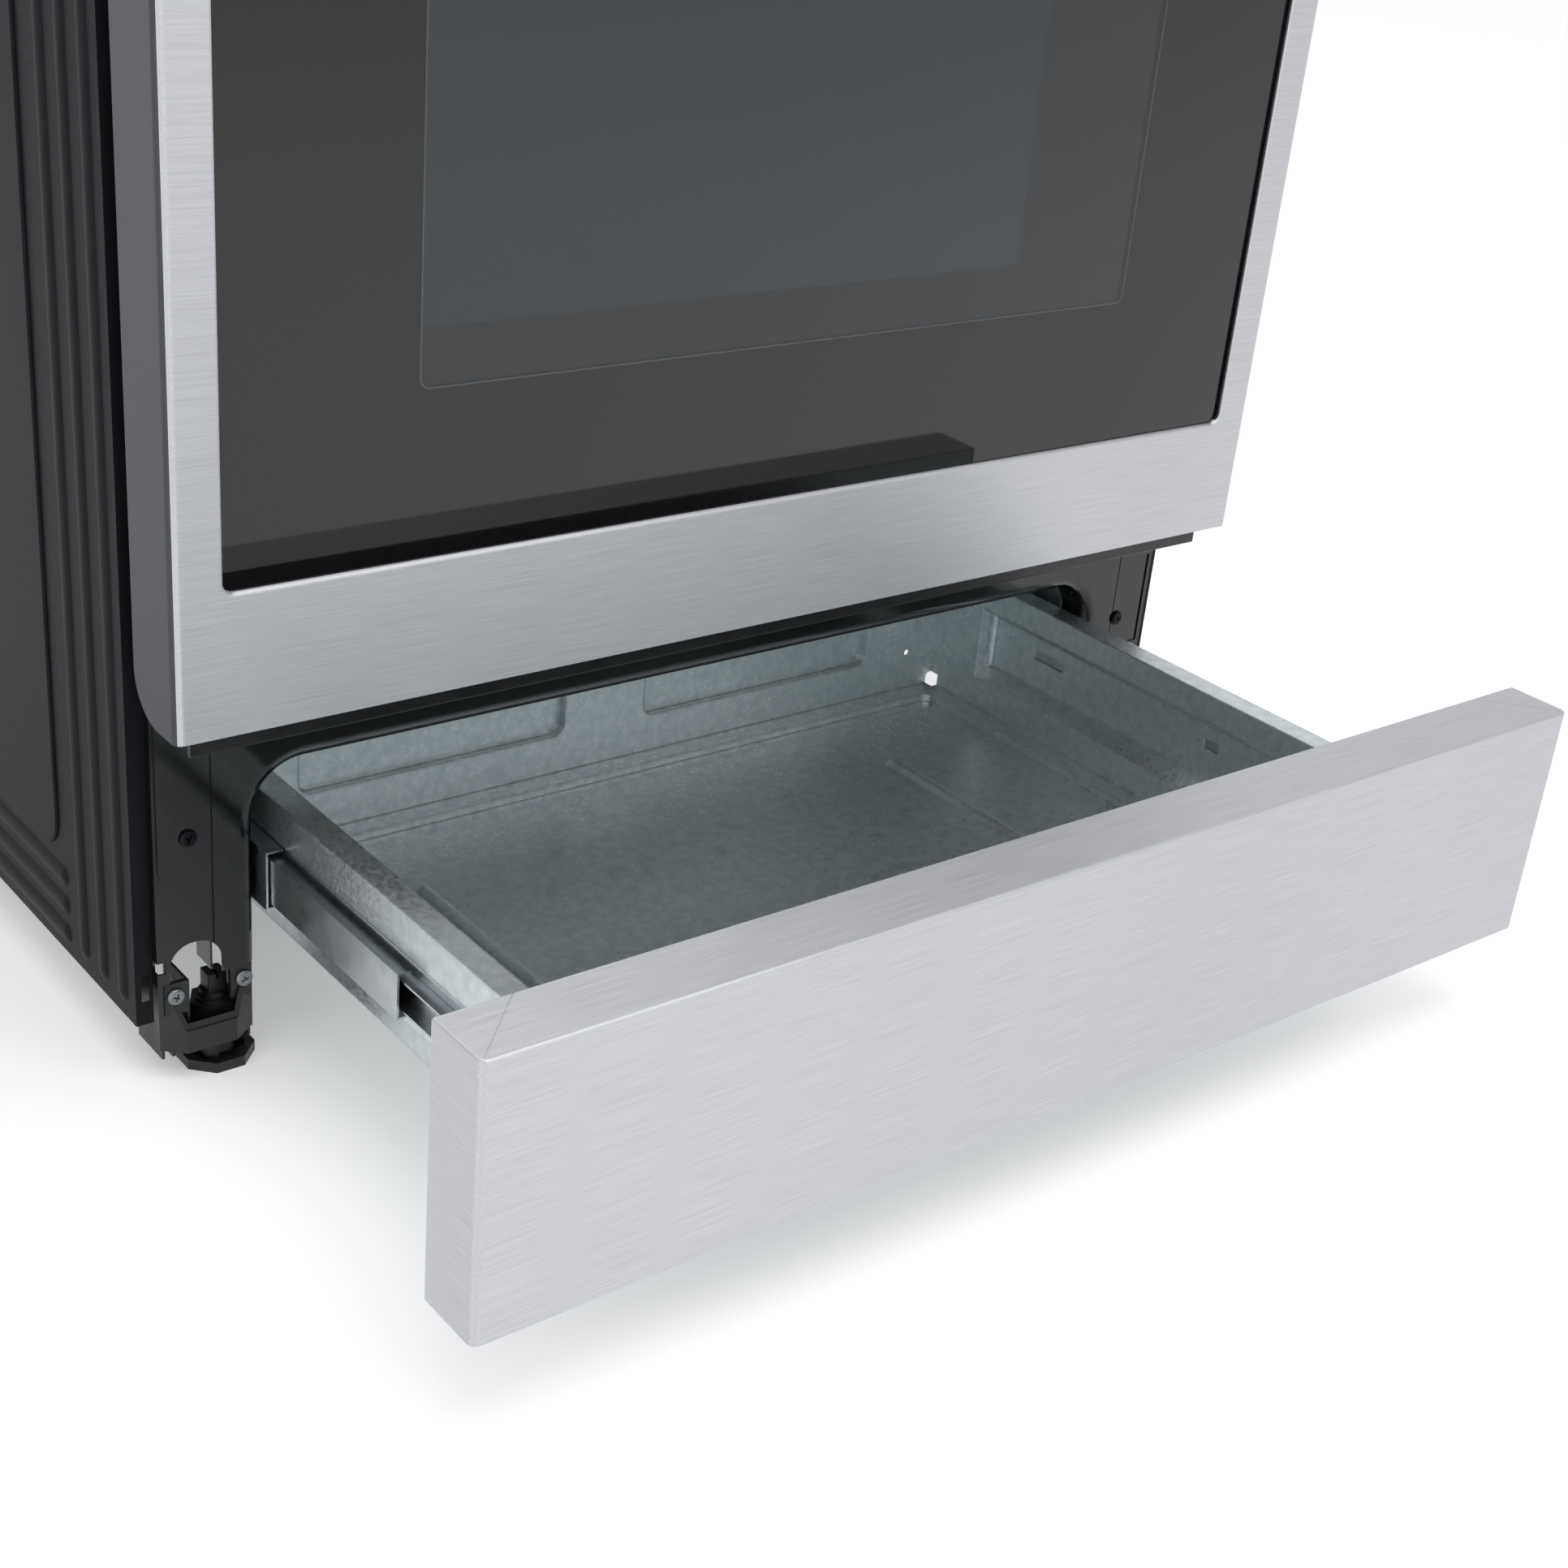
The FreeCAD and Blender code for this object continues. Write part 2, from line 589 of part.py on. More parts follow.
def at_four_corners(shape):
    """Front left, front right, rear left and rear right copies of a front left piece."""
    rear_y = body_depth - leg_rear_inset
    turned = shape.mirror(V(0, 0, 0), V(0, 1, 0))
    turned.translate(V(0, rear_y + leg_front_y, 0))
    return [shape, mirrored(shape), turned, mirrored(turned)]


# ---------------------------------------------------------------------------------------------------------
# Oven
# ---------------------------------------------------------------------------------------------------------
def guides(grow):
    """Pressed ledges on the left and right oven walls; grown inwards by the sheet for their hollow side."""
    wall = oven_half_width
    levels = [oven_floor_height - frame_sheet] + rack_levels
    forms = []
    for side in (-1, 1):
        x = sorted((side * (wall + 0.5 + grow), side * (wall - guide_depth + grow)))
        forms += [block(x, (25 + grow, oven_back - 25 - grow), (level - 10 + grow, level - grow))
                  for level in levels]
    return forms


def oven_liner():
    """Enamelled oven box, open in front, with pressed rack ledges and holes for the lamp and burners."""
    wall = oven_half_width + frame_sheet
    shell = block((-wall, wall), (0, oven_back + frame_sheet), (oven_pan - frame_sheet, oven_top + frame_sheet))
    shell = shell.cut(block((-oven_half_width, oven_half_width), (-1, oven_back), (oven_pan, oven_top)))
    shell = shell.multiFuse(guides(0.0)).cut(Part.makeCompound(guides(frame_sheet)))
    lamp = rod(22.0, (lamp_x, oven_back - 5, lamp_z), (lamp_x, oven_back + 5, lamp_z))
    return shell.cut(lamp).removeSplitter()


def oven_floor():
    """Removable floor panel over the bake burner, slotted along both sides."""
    x, slot_x = oven_half_width - 1.5, oven_half_width - 38
    z = (oven_floor_height - frame_sheet + 0.05, oven_floor_height + 0.05)
    panel = block((-x, x), (4, oven_back - 2), z)
    slots = [rounded_block((side * slot_x - 4, side * slot_x + 4), (y, y + 34), (z[0] - 1, z[1] + 1), 3.9, "z")
             for side in (-1, 1) for y in (70.0 + (oven_back - 120) / 6 * step for step in range(6))]
    return panel.cut(Part.makeCompound(slots))


def insulation():
    """Glass wool blankets on the oven's five closed sides."""
    inner = oven_half_width + frame_sheet + soft_gap
    outer = inner + wool
    y = (12.0, oven_back + frame_sheet + soft_gap)
    low, high = oven_pan - frame_sheet - soft_gap, oven_top + frame_sheet + soft_gap
    deck = rail_top + 2 * soft_gap + frame_sheet
    back = block((-inner, inner), (y[1], y[1] + wool), (low, high))
    lamp = rod(24.0, (lamp_x, y[1] - 5, lamp_z), (lamp_x, y[1] + wool + 5, lamp_z))
    return [
        block((-outer, outer), (y[0], y[1] + wool), (high, high + wool)),
        block((-outer, outer), (y[0], y[1] + wool), (deck, low)),
        block((-outer, -inner), (y[0], y[1] + wool), (low, high)),
        block((inner, outer), (y[0], y[1] + wool), (low, high)),
        back.cut(lamp),
    ]


def door_gasket():
    """Woven heat seal round the oven mouth."""
    y, gap, thick = (door_rear + soft_gap, -pad), 4.0, 10.0
    rings = [rounded_block((-oven_half_width - size, oven_half_width + size), y,
                           (oven_floor_height - size, oven_top + size), 12.0 + size, "y")
             for size in (gap + thick, gap)]
    ring = rings[0].cut(block((-900, 900), (-20, -15), (0, 1)))
    return rounded(ring.cut(rings[1]), 2.0, lambda p: p.y < y[0] + 0.01)


def oven_burner(z, half_width, front, radius):
    """U-shaped tube burner fed through the oven's rear wall."""
    rear = oven_back - soft_gap
    return pipe([(-half_width, rear, z), (-half_width, front, z), (half_width, front, z), (half_width, rear, z)],
                radius, 40.0)


def oven_lamp():
    """Lamp behind a domed glass on the rear wall: the glass and its socket."""
    spot = (lamp_x, oven_back, lamp_z)
    glass = rounded(rod(28.0, (spot[0], spot[1] - 14, spot[2]), (spot[0], spot[1] - 0.2, spot[2])), 8.0,
                    lambda p: p.y < spot[1] - 13.9)
    socket = rod(20.0, (spot[0], spot[1] + 0.1, spot[2]), (spot[0], spot[1] + 40, spot[2]))
    return [glass, socket]


def rack(level):
    """Chromed wire rack resting on one pair of ledges."""
    wire, edge = 2.0, 3.0
    z = level + edge + 0.1
    x = oven_half_width - 5.0
    front, rear = rack_front, oven_back - 4.0
    corners = [(-x, rear, z), (-x, front, z), (x, front, z), (x, rear, z)]
    frame = [pipe(corners, edge, 14.0)]
    for y in (rear - 8, (front + rear) / 2):
        frame.append(rod(edge - 0.2, (-x, y, z + 0.1), (x, y, z + 0.1)))
    pitch = 2 * x / (slat_count + 1)
    slats = [rod(wire, (-x + pitch * step, front + 0.4, z + 1.3), (-x + pitch * step, rear - 4, z + 1.3))
             for step in range(1, slat_count + 1)]
    return join(frame + slats)


# ---------------------------------------------------------------------------------------------------------
# Oven door
# ---------------------------------------------------------------------------------------------------------


def hinge_slots(y, z):
    """Clearance for both hinge arms through a sheet of the door."""
    half = arm_thickness / 2 + 5
    return [block((side * hinge_x - half, side * hinge_x + half), y, z) for side in (-1, 1)]


def door_skin():
    """Stainless door shell: folded sides, rounded rear corners and a rolled lip round the window."""
    x, y, z = (-half_door, half_door), (door_front, door_rear), (door_bottom, door_top)
    opening_x, opening_z = (-window_half, window_half), (window_low, window_high)
    outer = block(x, y, z)
    outer = rounded(outer, door_corner, lambda p: abs(p.y - door_rear) < 0.01 and abs(p.x) < 1)
    outer = rounded(outer, door_fold, lambda p: abs(p.y - door_front) < 0.01 and abs(p.z - sum(z) / 2) < 1)
    outer = outer.cut(rounded_block(opening_x, (y[0] - 5, y[0] + 60), opening_z, 6.0, "y"))
    lip = 2.2
    outer = rounded(outer, lip, lambda p: abs(p.y - door_front) < 0.01 and abs(p.x) < window_half + 1
                    and window_low - 1 < p.z < window_high + 1)
    t = skin_sheet
    inner = block((x[0] + t, x[1] - t), (y[0] + t, y[1] + 1), (z[0] + t, z[1] - t))
    inner = rounded(inner, door_fold - t, lambda p: abs(p.y - door_front - t) < 0.01 and abs(p.z - sum(z) / 2) < 1)
    ring = rounded_block((opening_x[0] - t, opening_x[1] + t), (y[0] - 5, y[0] + window_lip),
                         (opening_z[0] - t, opening_z[1] + t), 6.0 + t, "y")
    inner = inner.cut(ring)
    inner = rounded(inner, lip - t, lambda p: abs(p.y - door_front - t) < 0.01 and abs(p.x) < window_half + t + 1
                    and window_low - t - 1 < p.z < window_high + t + 1)
    skin = outer.cut(inner)
    notches = hinge_slots((hinge_y - arm_thickness / 2 - 1, door_rear + 1), (door_bottom - 1, door_bottom + 3))
    posts = [rod(4.0, (side * handle_post_x, door_front - 5, handle_z),
                 (side * handle_post_x, door_front + 5, handle_z))
             for side in (-1, 1)]
    return skin.cut(Part.makeCompound(notches + posts))


def door_outer_glass():
    """Dark outer glass seated behind the window lip."""
    y = door_front + window_lip + 0.2
    return rounded_block((-window_half - 7, window_half + 7), (y, y + outer_glass),
                         (window_low - 7, window_high + 7), 4.0, "y")


def door_inner_glass():
    """Heat-resisting glass on the oven side."""
    y = plug_depth - frame_sheet - 0.2
    low = door_bottom + sight_sill
    return rounded_block((-sight_half_width - 16, sight_half_width + 16), (y - inner_glass, y),
                         (low - 16, low + sight_height + 16), 5.0, "y")


def door_liner():
    """Enamelled inner panel with a plug that reaches into the oven mouth and a sight opening."""
    t = frame_sheet
    rim = block((-half_door + 1.8, half_door - 1.8), (door_rear - t, door_rear), (door_bottom + 20, door_top - 3))
    plug = rounded_block((-plug_half, plug_half), (door_rear - t, plug_depth), (plug_low, plug_high), 14.0, "y")
    plug = rounded(plug, 3.0, lambda p: p.y > plug_depth - 0.01)
    hollow = rounded_block((-plug_half + t, plug_half - t), (door_rear - 5, plug_depth - t),
                           (plug_low + t, plug_high - t), 12.8, "y")
    low = door_bottom + sight_sill
    sight = rounded_block((-sight_half_width, sight_half_width), (-20, 20), (low, low + sight_height), 8.0, "y")
    panel = rim.fuse(plug).cut(hollow).cut(sight)
    panel = panel.cut(Part.makeCompound(hinge_slots((-20, 5), (0, hinge_z + 10))))
    return screw_holes(panel, door_screw_spots, (0, 1, 0)).removeSplitter()


def door_bottom_trim():
    """Black strip clipped under the door."""
    half = half_door - 14.0
    bar = block((-half, half), trim_y, (door_bottom - trim_drop, door_bottom - 0.2))
    return rounded(bar, 1.0, lambda p: p.z < door_bottom - trim_drop + 0.01 and abs(p.x) < 1)


def door_handle():
    """Bar handle on two posts."""
    depth, height = handle_size
    outer_y = door_front - handle_reach
    bar = rounded_block((-handle_half, handle_half), (outer_y, outer_y + depth),
                        (handle_z - height / 2, handle_z + height / 2), 6.5, "x")
    solids = [bar]
    for side in (-1, 1):
        foot = rounded_block((side * handle_post_x - 11, side * handle_post_x + 11),
                             (outer_y + depth + 0.1, door_front - 0.1),
                             (handle_z - height / 2 + 2, handle_z + height / 2 - 2), 5.0, "y")
        solids.append(foot)
    return solids


def hinge_channel(side):
    """Door side of one hinge: an upright channel astride the arm, bored for the pin."""
    half = arm_thickness / 2 + 1.5
    x = (side * hinge_x - half - channel_wall, side * hinge_x + half + channel_wall)
    y, z = (door_front + 8.0, door_rear - 4.0), (door_bottom + skin_sheet + 0.3, hinge_z + 180)
    channel = block(x, y, z)
    channel = channel.cut(block((x[0] + channel_wall, x[1] - channel_wall), (y[0] + channel_wall, 5), (0, 900)))
    channel = rounded(channel, 8.0, lambda p: abs(p.y - y[1]) < 0.01 and p.z < z[0] + 0.01)
    return channel.cut(rod(hinge_pin + running_gap, (x[0] - 5, hinge_y, hinge_z), (x[1] + 5, hinge_y, hinge_z)))


def hinge_arm(side):
    """Fixed side of one hinge: an arm with its eye and pin, reaching out through the front frame."""
    half = arm_thickness / 2
    x = (side * hinge_x - half, side * hinge_x + half)
    arm = block(x, (hinge_y, 44), (hinge_z - 3, hinge_z + 3))
    root = block(x, (6, 44), (hinge_z - 8, hinge_z + 6))
    eye = rod(7.0, (x[0], hinge_y, hinge_z), (x[1], hinge_y, hinge_z))
    pin = rod(hinge_pin, (x[0] - 4.5, hinge_y, hinge_z), (x[1] + 4.5, hinge_y, hinge_z))
    return join([arm, root, eye, pin])


def hinge_receiver(side):
    """Pocket behind the front frame that holds the hinge arm's root."""
    half = arm_thickness / 2 + 0.2
    x = (side * hinge_x - half - 1.5, side * hinge_x + half + 1.5)
    outer = block(x, (0.2, 46), (hinge_z - 12, hinge_z + 12))
    inner = block((x[0] + 1.5, x[1] - 1.5), (-1, 44.2), (hinge_z - 8.2, hinge_z + 6.2))
    return outer.cut(inner)


# ---------------------------------------------------------------------------------------------------------
# Storage drawer
# ---------------------------------------------------------------------------------------------------------
def drawer_front_skin():
    """Folded stainless drawer front with mitred top corners."""
    x, y, z = (-half_door + 1, half_door - 1), (drawer_front, drawer_rear), (drawer_bottom, drawer_top)
    t = skin_sheet
    outer = rounded(block(x, y, z), door_fold, lambda p: abs(p.y - y[0]) < 0.01 and abs(p.z - sum(z) / 2) < 1)
    outer = rounded(outer, 1.5, lambda p: abs(p.y - y[0]) < 0.01 and abs(p.x) < 1)
    inner = block((x[0] + t, x[1] - t), (y[0] + t, y[1] + 1), (z[0] + t, z[1] - t))
    inner = rounded(inner, door_fold - t, lambda p: abs(p.y - y[0] - t) < 0.01 and abs(p.z - sum(z) / 2) < 1)
    skin = outer.cut(inner)
    seams = []
    for side in (-1, 1):
        seam = block((-0.25, 0.25), (4, drawer_front_depth * 1.5), (-0.35, 1))
        seam.Placement = FreeCAD.Placement(V(side * x[1], y[0], z[1]), FreeCAD.Rotation(V(0, 0, 1), side * 45))
        seams.append(seam)
    return skin.cut(Part.makeCompound(seams))


def drawer_backer():
    """Plated sheet closing the drawer front's rear."""
    y = (drawer_rear - sheet - 0.2, drawer_rear - 0.2)
    edge = skin_sheet + 0.3
    plate = block((-half_door + 1 + edge, half_door - 1 - edge), y, (drawer_bottom + edge, drawer_top - edge))
    return screw_holes(plate, drawer_screw_spots, (0, 1, 0))


def along_y(points, y):
    """A straight bar along Y with a cross-section given as (x, z) points."""
    corners = [V(x, y[0], z) for x, z in points]
    face = Part.Face(Part.makePolygon(corners + corners[:1]))
    return face.extrude(V(0, y[1] - y[0], 0))


def box_form(grow, top):
    """The drawer box's inner space, or its outer surface when grown by the sheet."""
    half, front, back = box_half_width, box_front + sheet, box_back - sheet
    ledge = 16.0
    forms = [block((-half - grow, half + grow), (front - grow, back + grow), (box_ledge - grow, top))]
    recess = rounded_block((-half + ledge - grow, half - ledge + grow), (front + ledge - grow, back - ledge + grow),
                           (box_floor - grow, box_ledge + 2), 7.0, "z")
    forms.append(recess)
    low, high, slope = 94.0 - grow, 130.0 + grow, 10.0
    for side in (-1, 1):
        reach = half + pocket_depth + grow
        points = [(side * (half - 2), low - slope), (side * reach, low), (side * reach, high),
                  (side * (half - 2), high + slope)]
        pocket = along_y(points, (front + 22 - grow, back - 45 + grow))
        pocket = rounded(pocket, 5.0, lambda p: abs(abs(p.x) - reach) < 0.01 and abs(p.z - 112) < 1)
        forms.append(pocket)
    for x in ((-0.792, -0.127), (0.092, 0.768)):
        forms.append(rounded_block((x[0] * half - grow, x[1] * half + grow), (back - 2, back + 5 + grow),
                                   (90 - grow, box_rim - 8 + grow), 8.0, "y"))
    ribs = [join([rod(8.0 - grow, (sx, front + 34, box_floor - 5), (sx, back - 88, box_floor - 5)),
                  Part.makeSphere(8.0 - grow, V(sx, front + 34, box_floor - 5)),
                  Part.makeSphere(8.0 - grow, V(sx, back - 88, box_floor - 5))])
            for sx in (-0.67 * half, 0.62 * half)]
    return join(forms).cut(Part.makeCompound(ribs))


def drawer_box():
    """Pressed galvanised drawer box with bulged sides, a ledged floor and a folded rim."""
    shell = box_form(sheet, box_rim).cut(box_form(0.0, box_rim + 5))
    reach = box_half_width + rim_width
    inside = block((-box_half_width, box_half_width), (box_front + sheet, box_back - sheet), (0, 300))
    rim = block((-reach, reach), (box_front, box_back + 12), (box_rim - sheet, box_rim)).cut(inside)
    lips = [block(sorted((side * (reach - sheet), side * reach)), (box_front, box_back + 12),
                  (box_rim - rim_lip, box_rim)) for side in (-1, 1)]
    lips.append(block((-reach, reach), (box_back + 12 - sheet, box_back + 12), (box_rim - 12, box_rim)))
    shell = join([shell, rim] + lips)
    reliefs = [rounded_block((side * box_half_width - 5, side * box_half_width + 5), (box_back - 8, box_back + 2),
                             (box_ledge - 3, box_ledge + 8), 3.0, "y") for side in (-1, 1)]
    clips = [block(sorted((side * (box_half_width + 8), side * (box_half_width + 20))), y, (114, 120))
             for side in (-1, 1) for y in ((box_back - 117, box_back - 89), (box_back - 262, box_back - 250))]
    hole = rod(2.2, (box_half_width - 27, box_back - 5, 92), (box_half_width - 27, box_back + 5, 92))
    shell = shell.cut(Part.makeCompound(reliefs + clips + [hole]))
    return screw_holes(shell, drawer_screw_spots, (0, 1, 0))


def slide_channel(side, x, z, y):
    """One telescoping member: a channel whose web is its first x, with flanges at its z limits."""
    web = sorted((side * x[0], side * (x[0] + math.copysign(slide_sheet, x[1] - x[0]))))
    width = sorted((side * x[0], side * x[1]))
    return join([block(web, y, z), block(width, y, (z[0], z[0] + slide_sheet)),
                 block(width, y, (z[1] - slide_sheet, z[1]))])


def slide_outer(side):
    """Slide member fixed in the range."""
    z = (slide_bottom, slide_bottom + slide_height)
    front = door_front + drawer_front_depth + 1.0
    return slide_channel(side, (slide_outer_x, slide_outer_x - 10.2), z, (front, front + slide_length))


def slide_middle(side):
    """Intermediate slide member, half way out, with the ball cages above and below its two flanges."""
    z = (slide_bottom + slide_step, slide_bottom + slide_height - slide_step)
    front = door_front + drawer_front_depth + 6.0 - drawer_shown / 2
    web = slide_outer_x - 2.2
    member = slide_channel(side, (web, web - 7.7), z, (front, front + slide_length - 40))
    race = slide_step - slide_sheet
    x = sorted((side * (web - 5.2), side * (web - 2.8)))
    cages = []
    for low, start in ((z[1], 160.0), (z[0] - race, 160.0), (z[1] - slide_sheet - race, 10.0),
                       (z[0] + slide_sheet, 10.0)):
        cages.append(block(x, (front + start, front + start + 190), (low + soft_gap, low + race - soft_gap)))
    return [member] + cages


def slide_inner(side):
    """Slide member fixed to the drawer box."""
    z = (slide_bottom + 2 * slide_step, slide_bottom + slide_height - 2 * slide_step)
    web = slide_outer_x - slide_thickness
    member = slide_channel(side, (web, web + 7.8), z, (box_front + 4, box_front + slide_length - 50))
    slot = block(sorted((side * (web - 1), side * (web + 2))), (box_front + 40, box_front + 52), (112, 120))
    return member.cut(slot)


# ---------------------------------------------------------------------------------------------------------
# Cooktop
# ---------------------------------------------------------------------------------------------------------


def stadium(burner, radius, z):
    """Upright disc, or a longer one with round ends, centred on a burner."""
    x, y, _, half = burner
    if not half:
        return rod(radius, (x, y, z[0]), (x, y, z[1]))
    return rounded_block((x - radius, x + radius), (y - half - radius, y + half + radius), z, radius - 0.05, "z")


def cooktop_panel():
    """Cooktop pan: a raised rim round a shallow well, with a hole for each burner."""
    x, z, t = (-half_body, half_body), (fascia_top + soft_gap, cooktop_height), frame_sheet
    outer = rounded_block(x, cooktop_y, z, 5.0, "z")
    outer = rounded(outer, 2.5, lambda p: p.z > z[1] - 0.01)
    edge = well_margin
    well = rounded_block((x[0] + edge, x[1] - edge), (cooktop_y[0] + 20, cooktop_y[1] - 14),
                         (well_floor, z[1] + 1), 22.0, "z")
    inner = rounded_block((x[0] + t, x[1] - t), (cooktop_y[0] + t, cooktop_y[1] - t), (z[0] - 1, z[1] - t), 3.8, "z")
    inner = inner.cut(rounded_block((x[0] + edge - t, x[1] - edge + t),
                                    (cooktop_y[0] + 20 - t, cooktop_y[1] - 14 + t),
                                    (well_floor - t, z[1] + 1), 22.0 + t, "z"))
    pan = outer.cut(well).cut(inner)
    holes = [stadium(burner, 20.0, (well_floor - 10, well_floor + 10)) for burner in burners.values()]
    wires = [rod(4.0, spark_spot(b, well_floor - 10), spark_spot(b, well_floor + 10)) for b in burners.values()]
    return pan.cut(Part.makeCompound(holes + wires))


def spark_spot(burner, z):
    """Where a burner's spark electrode stands."""
    return (burner[0] + burner[2] + 6.0, burner[1], z)


def burner_base(burner):
    """Burner's cast foot: flange on the cooktop and throat through it."""
    low = stadium(burner, 19.0, (well_floor - 34, well_floor + 1))
    flange = stadium(burner, burner[2] - 2, (well_floor + 0.1, well_floor + 5))
    inlet = rod(3.4, (burner[0], burner[1], well_floor - 40), (burner[0], burner[1], well_floor - 20))
    return join([low, flange]).cut(inlet)


def burner_head(burner):
    """Ported flame ring."""
    z = (well_floor + 5.2, well_floor + 19)
    ring = stadium(burner, burner[2], z).cut(stadium(burner, burner[2] - 6, (z[0] + 2, z[1] + 1)))
    x, y, radius, half = burner
    ports = []
    for step in range(24):
        port = block((radius - 9, radius + 3), (-0.9, 0.9), (z[1] - 6, z[1] + 1))
        angle = 15.0 * step + 7.5
        port.Placement = FreeCAD.Placement(V(x, y + math.copysign(half, math.sin(math.radians(angle))), 0),
                                           FreeCAD.Rotation(V(0, 0, 1), angle))
        ports.append(port)
    return ring.cut(Part.makeCompound(ports))


def burner_cap(burner):
    """Enamelled cap on the flame ring."""
    z = (well_floor + 19.2, well_floor + 26)
    cap = stadium(burner, burner[2] - 1.0, z)
    return rounded(cap, 3.0, lambda p: p.z > z[1] - 0.01)


def spark_electrode(burner):
    """Ceramic spark electrode with its steel tip."""
    low, top = spark_spot(burner, well_floor - 30), spark_spot(burner, well_floor + 14)
    tip = spark_spot(burner, well_floor + 18)
    collar = rod(5.0, spark_spot(burner, well_floor + 0.1), spark_spot(burner, well_floor + 3))
    return join([rod(3.0, low, top), rod(1.0, top, tip), collar])


def grate(x, spans):
    """Cast-iron grate on six feet: a rim, and fingers that stop short of burners spanning some finger rows."""
    z = (grate_top - 14, grate_top)
    bar, hub = grate_bar, 22.0
    centre, end = sum(x) / 2, (x[1] - x[0]) / 2 - 3
    rim = rounded_block(x, grate_y, z, 12.0, "z").cut(
        rounded_block((x[0] + bar, x[1] - bar), (grate_y[0] + bar, grate_y[1] - bar), (z[0] - 1, z[1] + 1), 6.0, "z"))
    bars = [rim]
    for row in range(-3, 4):
        y = grate_middle + row * finger_pitch
        over_burner = any(low <= row <= high for low, high in spans)
        near = hub if over_burner else hub * 1.6
        if row == 0 and not over_burner:
            near = 0.0
        for side in (-1, 1):
            reach = sorted((centre + side * near, centre + side * end))
            bars.append(block(reach, (y - bar / 2, y + bar / 2), z))
    stops = [grate_y[0] + 3]
    for low, high in spans:
        stops += [grate_middle + low * finger_pitch - hub, grate_middle + high * finger_pitch + hub]
    stops.append(grate_y[1] - 3)
    for low, high in zip(stops[::2], stops[1::2]):
        bars.append(block((centre - bar / 2, centre + bar / 2), (low, high), z))
    for fx in (x[0] + bar / 2, x[1] - bar / 2):
        for fy in (grate_y[0] + 14, grate_middle, grate_y[1] - 14):
            bars.append(Part.makeCone(3.4, 4.4, z[0] - well_floor + 1, V(fx, fy, well_floor + soft_gap)))
    return join(bars)


# ---------------------------------------------------------------------------------------------------------
# Control panel, valves and knobs
# ---------------------------------------------------------------------------------------------------------


def control_fascia():
    """Sloping stainless control panel, folded and closed at both ends."""
    t, half = skin_sheet, half_door
    slope = math.tan(fascia_angle)
    shift = t / math.cos(fascia_angle)
    outer = prism([(fascia_front, fascia_bottom), (fascia_back, fascia_top), (fascia_rear, fascia_top),
                   (fascia_rear, fascia_bottom)], (-half, half))
    outer = rounded(outer, 2.0, lambda p: abs(p.x) < 1 and p.y < fascia_back + 1)
    low, high = fascia_bottom + t, fascia_top - t
    inner = prism([(fascia_front + t * slope + shift, low),
                   (fascia_front + (high - fascia_bottom) * slope + shift, high),
                   (fascia_rear + 1, high), (fascia_rear + 1, low)], (-half + t, half - t))
    shell = outer.cut(inner)
    cuts = [on_fascia(Part.makeCylinder(stem_radius + 3, 20, V(0, 0, -10)), x, knob_height) for x in knob_xs]
    window = rounded_block((-display_half[0] + 6, display_half[0] - 6), (-display_half[1] + 4, display_half[1] - 4),
                           (-10, 10), 2.0, "z")
    return shell.cut(Part.makeCompound(cuts + [on_fascia(window, 0, display_along)]))


def display_glass():
    """Touch glass of the clock and oven control."""
    glass = rounded_block((-display_half[0], display_half[0]), (-display_half[1], display_half[1]), (0.1, 2.3),
                          4.0, "z")
    return on_fascia(rounded(glass, 0.6, lambda p: p.z > 2.29), 0, display_along)


def electrical_modules():
    """Control board's housing, spark module, terminal box and the power cord's bushing."""
    board = on_fascia(block((-95, 95), (-22, 20), (-24, -1.4)), 0, display_along)
    inside = body_depth - sheet - 0.1
    spark = block((-120, -40), (body_depth - 40, inside), (240, 320))
    x = (power_x - 35, power_x + 35)
    box = join([block(x, (body_depth - 35, body_depth - 8.5), (cord_z - 35, cord_z + 35)),
                block(x, (body_depth - 35, inside), (cord_z - 35, cord_z - 27))])
    flange = rod(15.0, (power_x, body_depth - 8, cord_z), (power_x, inside, cord_z))
    nose = rod(cord_hole + bushing_wall, (power_x, body_depth - 8, cord_z), (power_x, body_depth, cord_z))
    bore = rod(cord_hole, (power_x, body_depth - 20, cord_z), (power_x, body_depth + 5, cord_z))
    return [board, spark, box.cut(bore), join([flange, nose]).cut(bore)]


def gas_valve():
    """Valve body behind the control panel, on the stem's axis with its outlet upwards."""
    body = Part.makeCylinder(valve_body_radius, valve_reach - 12, V(0, 0, -valve_reach))
    plate = block((-16, 16), (-9, 9), (-14.5, -12))
    bore = Part.makeCylinder(stem_radius + 0.3, 26, V(0, 0, -30))
    return body.fuse(plate).cut(bore)


def valve_stem():
    """Flatted stem that the knob pushes in."""
    stem = Part.makeCylinder(stem_radius, 42, V(0, 0, -25))
    return stem.cut(block((-10, 10), (stem_radius - 1.2, 10), (6, 20)))


def knob():
    """Control knob: skirt, tapered grip and a pointer groove, bored for the stem."""
    low = knob_push + 1.5
    skirt = rounded(Part.makeCylinder(knob_radius, 8, V(0, 0, low)), 2.0, lambda p: p.z > low + 7.9)
    grip = Part.makeCone(knob_radius - 3, knob_radius - 5, knob_depth - 6, V(0, 0, low + 6))
    grip = rounded(grip, 2.0, lambda p: p.z > low + knob_depth - 0.1)
    pointer = block((-0.9, 0.9), (4, knob_radius), (low + knob_depth - 1.0, low + knob_depth + 1))
    bore = Part.makeCylinder(stem_radius + running_gap, 19 - low, V(0, 0, low - 1))
    return skirt.fuse(grip).cut(pointer).cut(bore).removeSplitter()


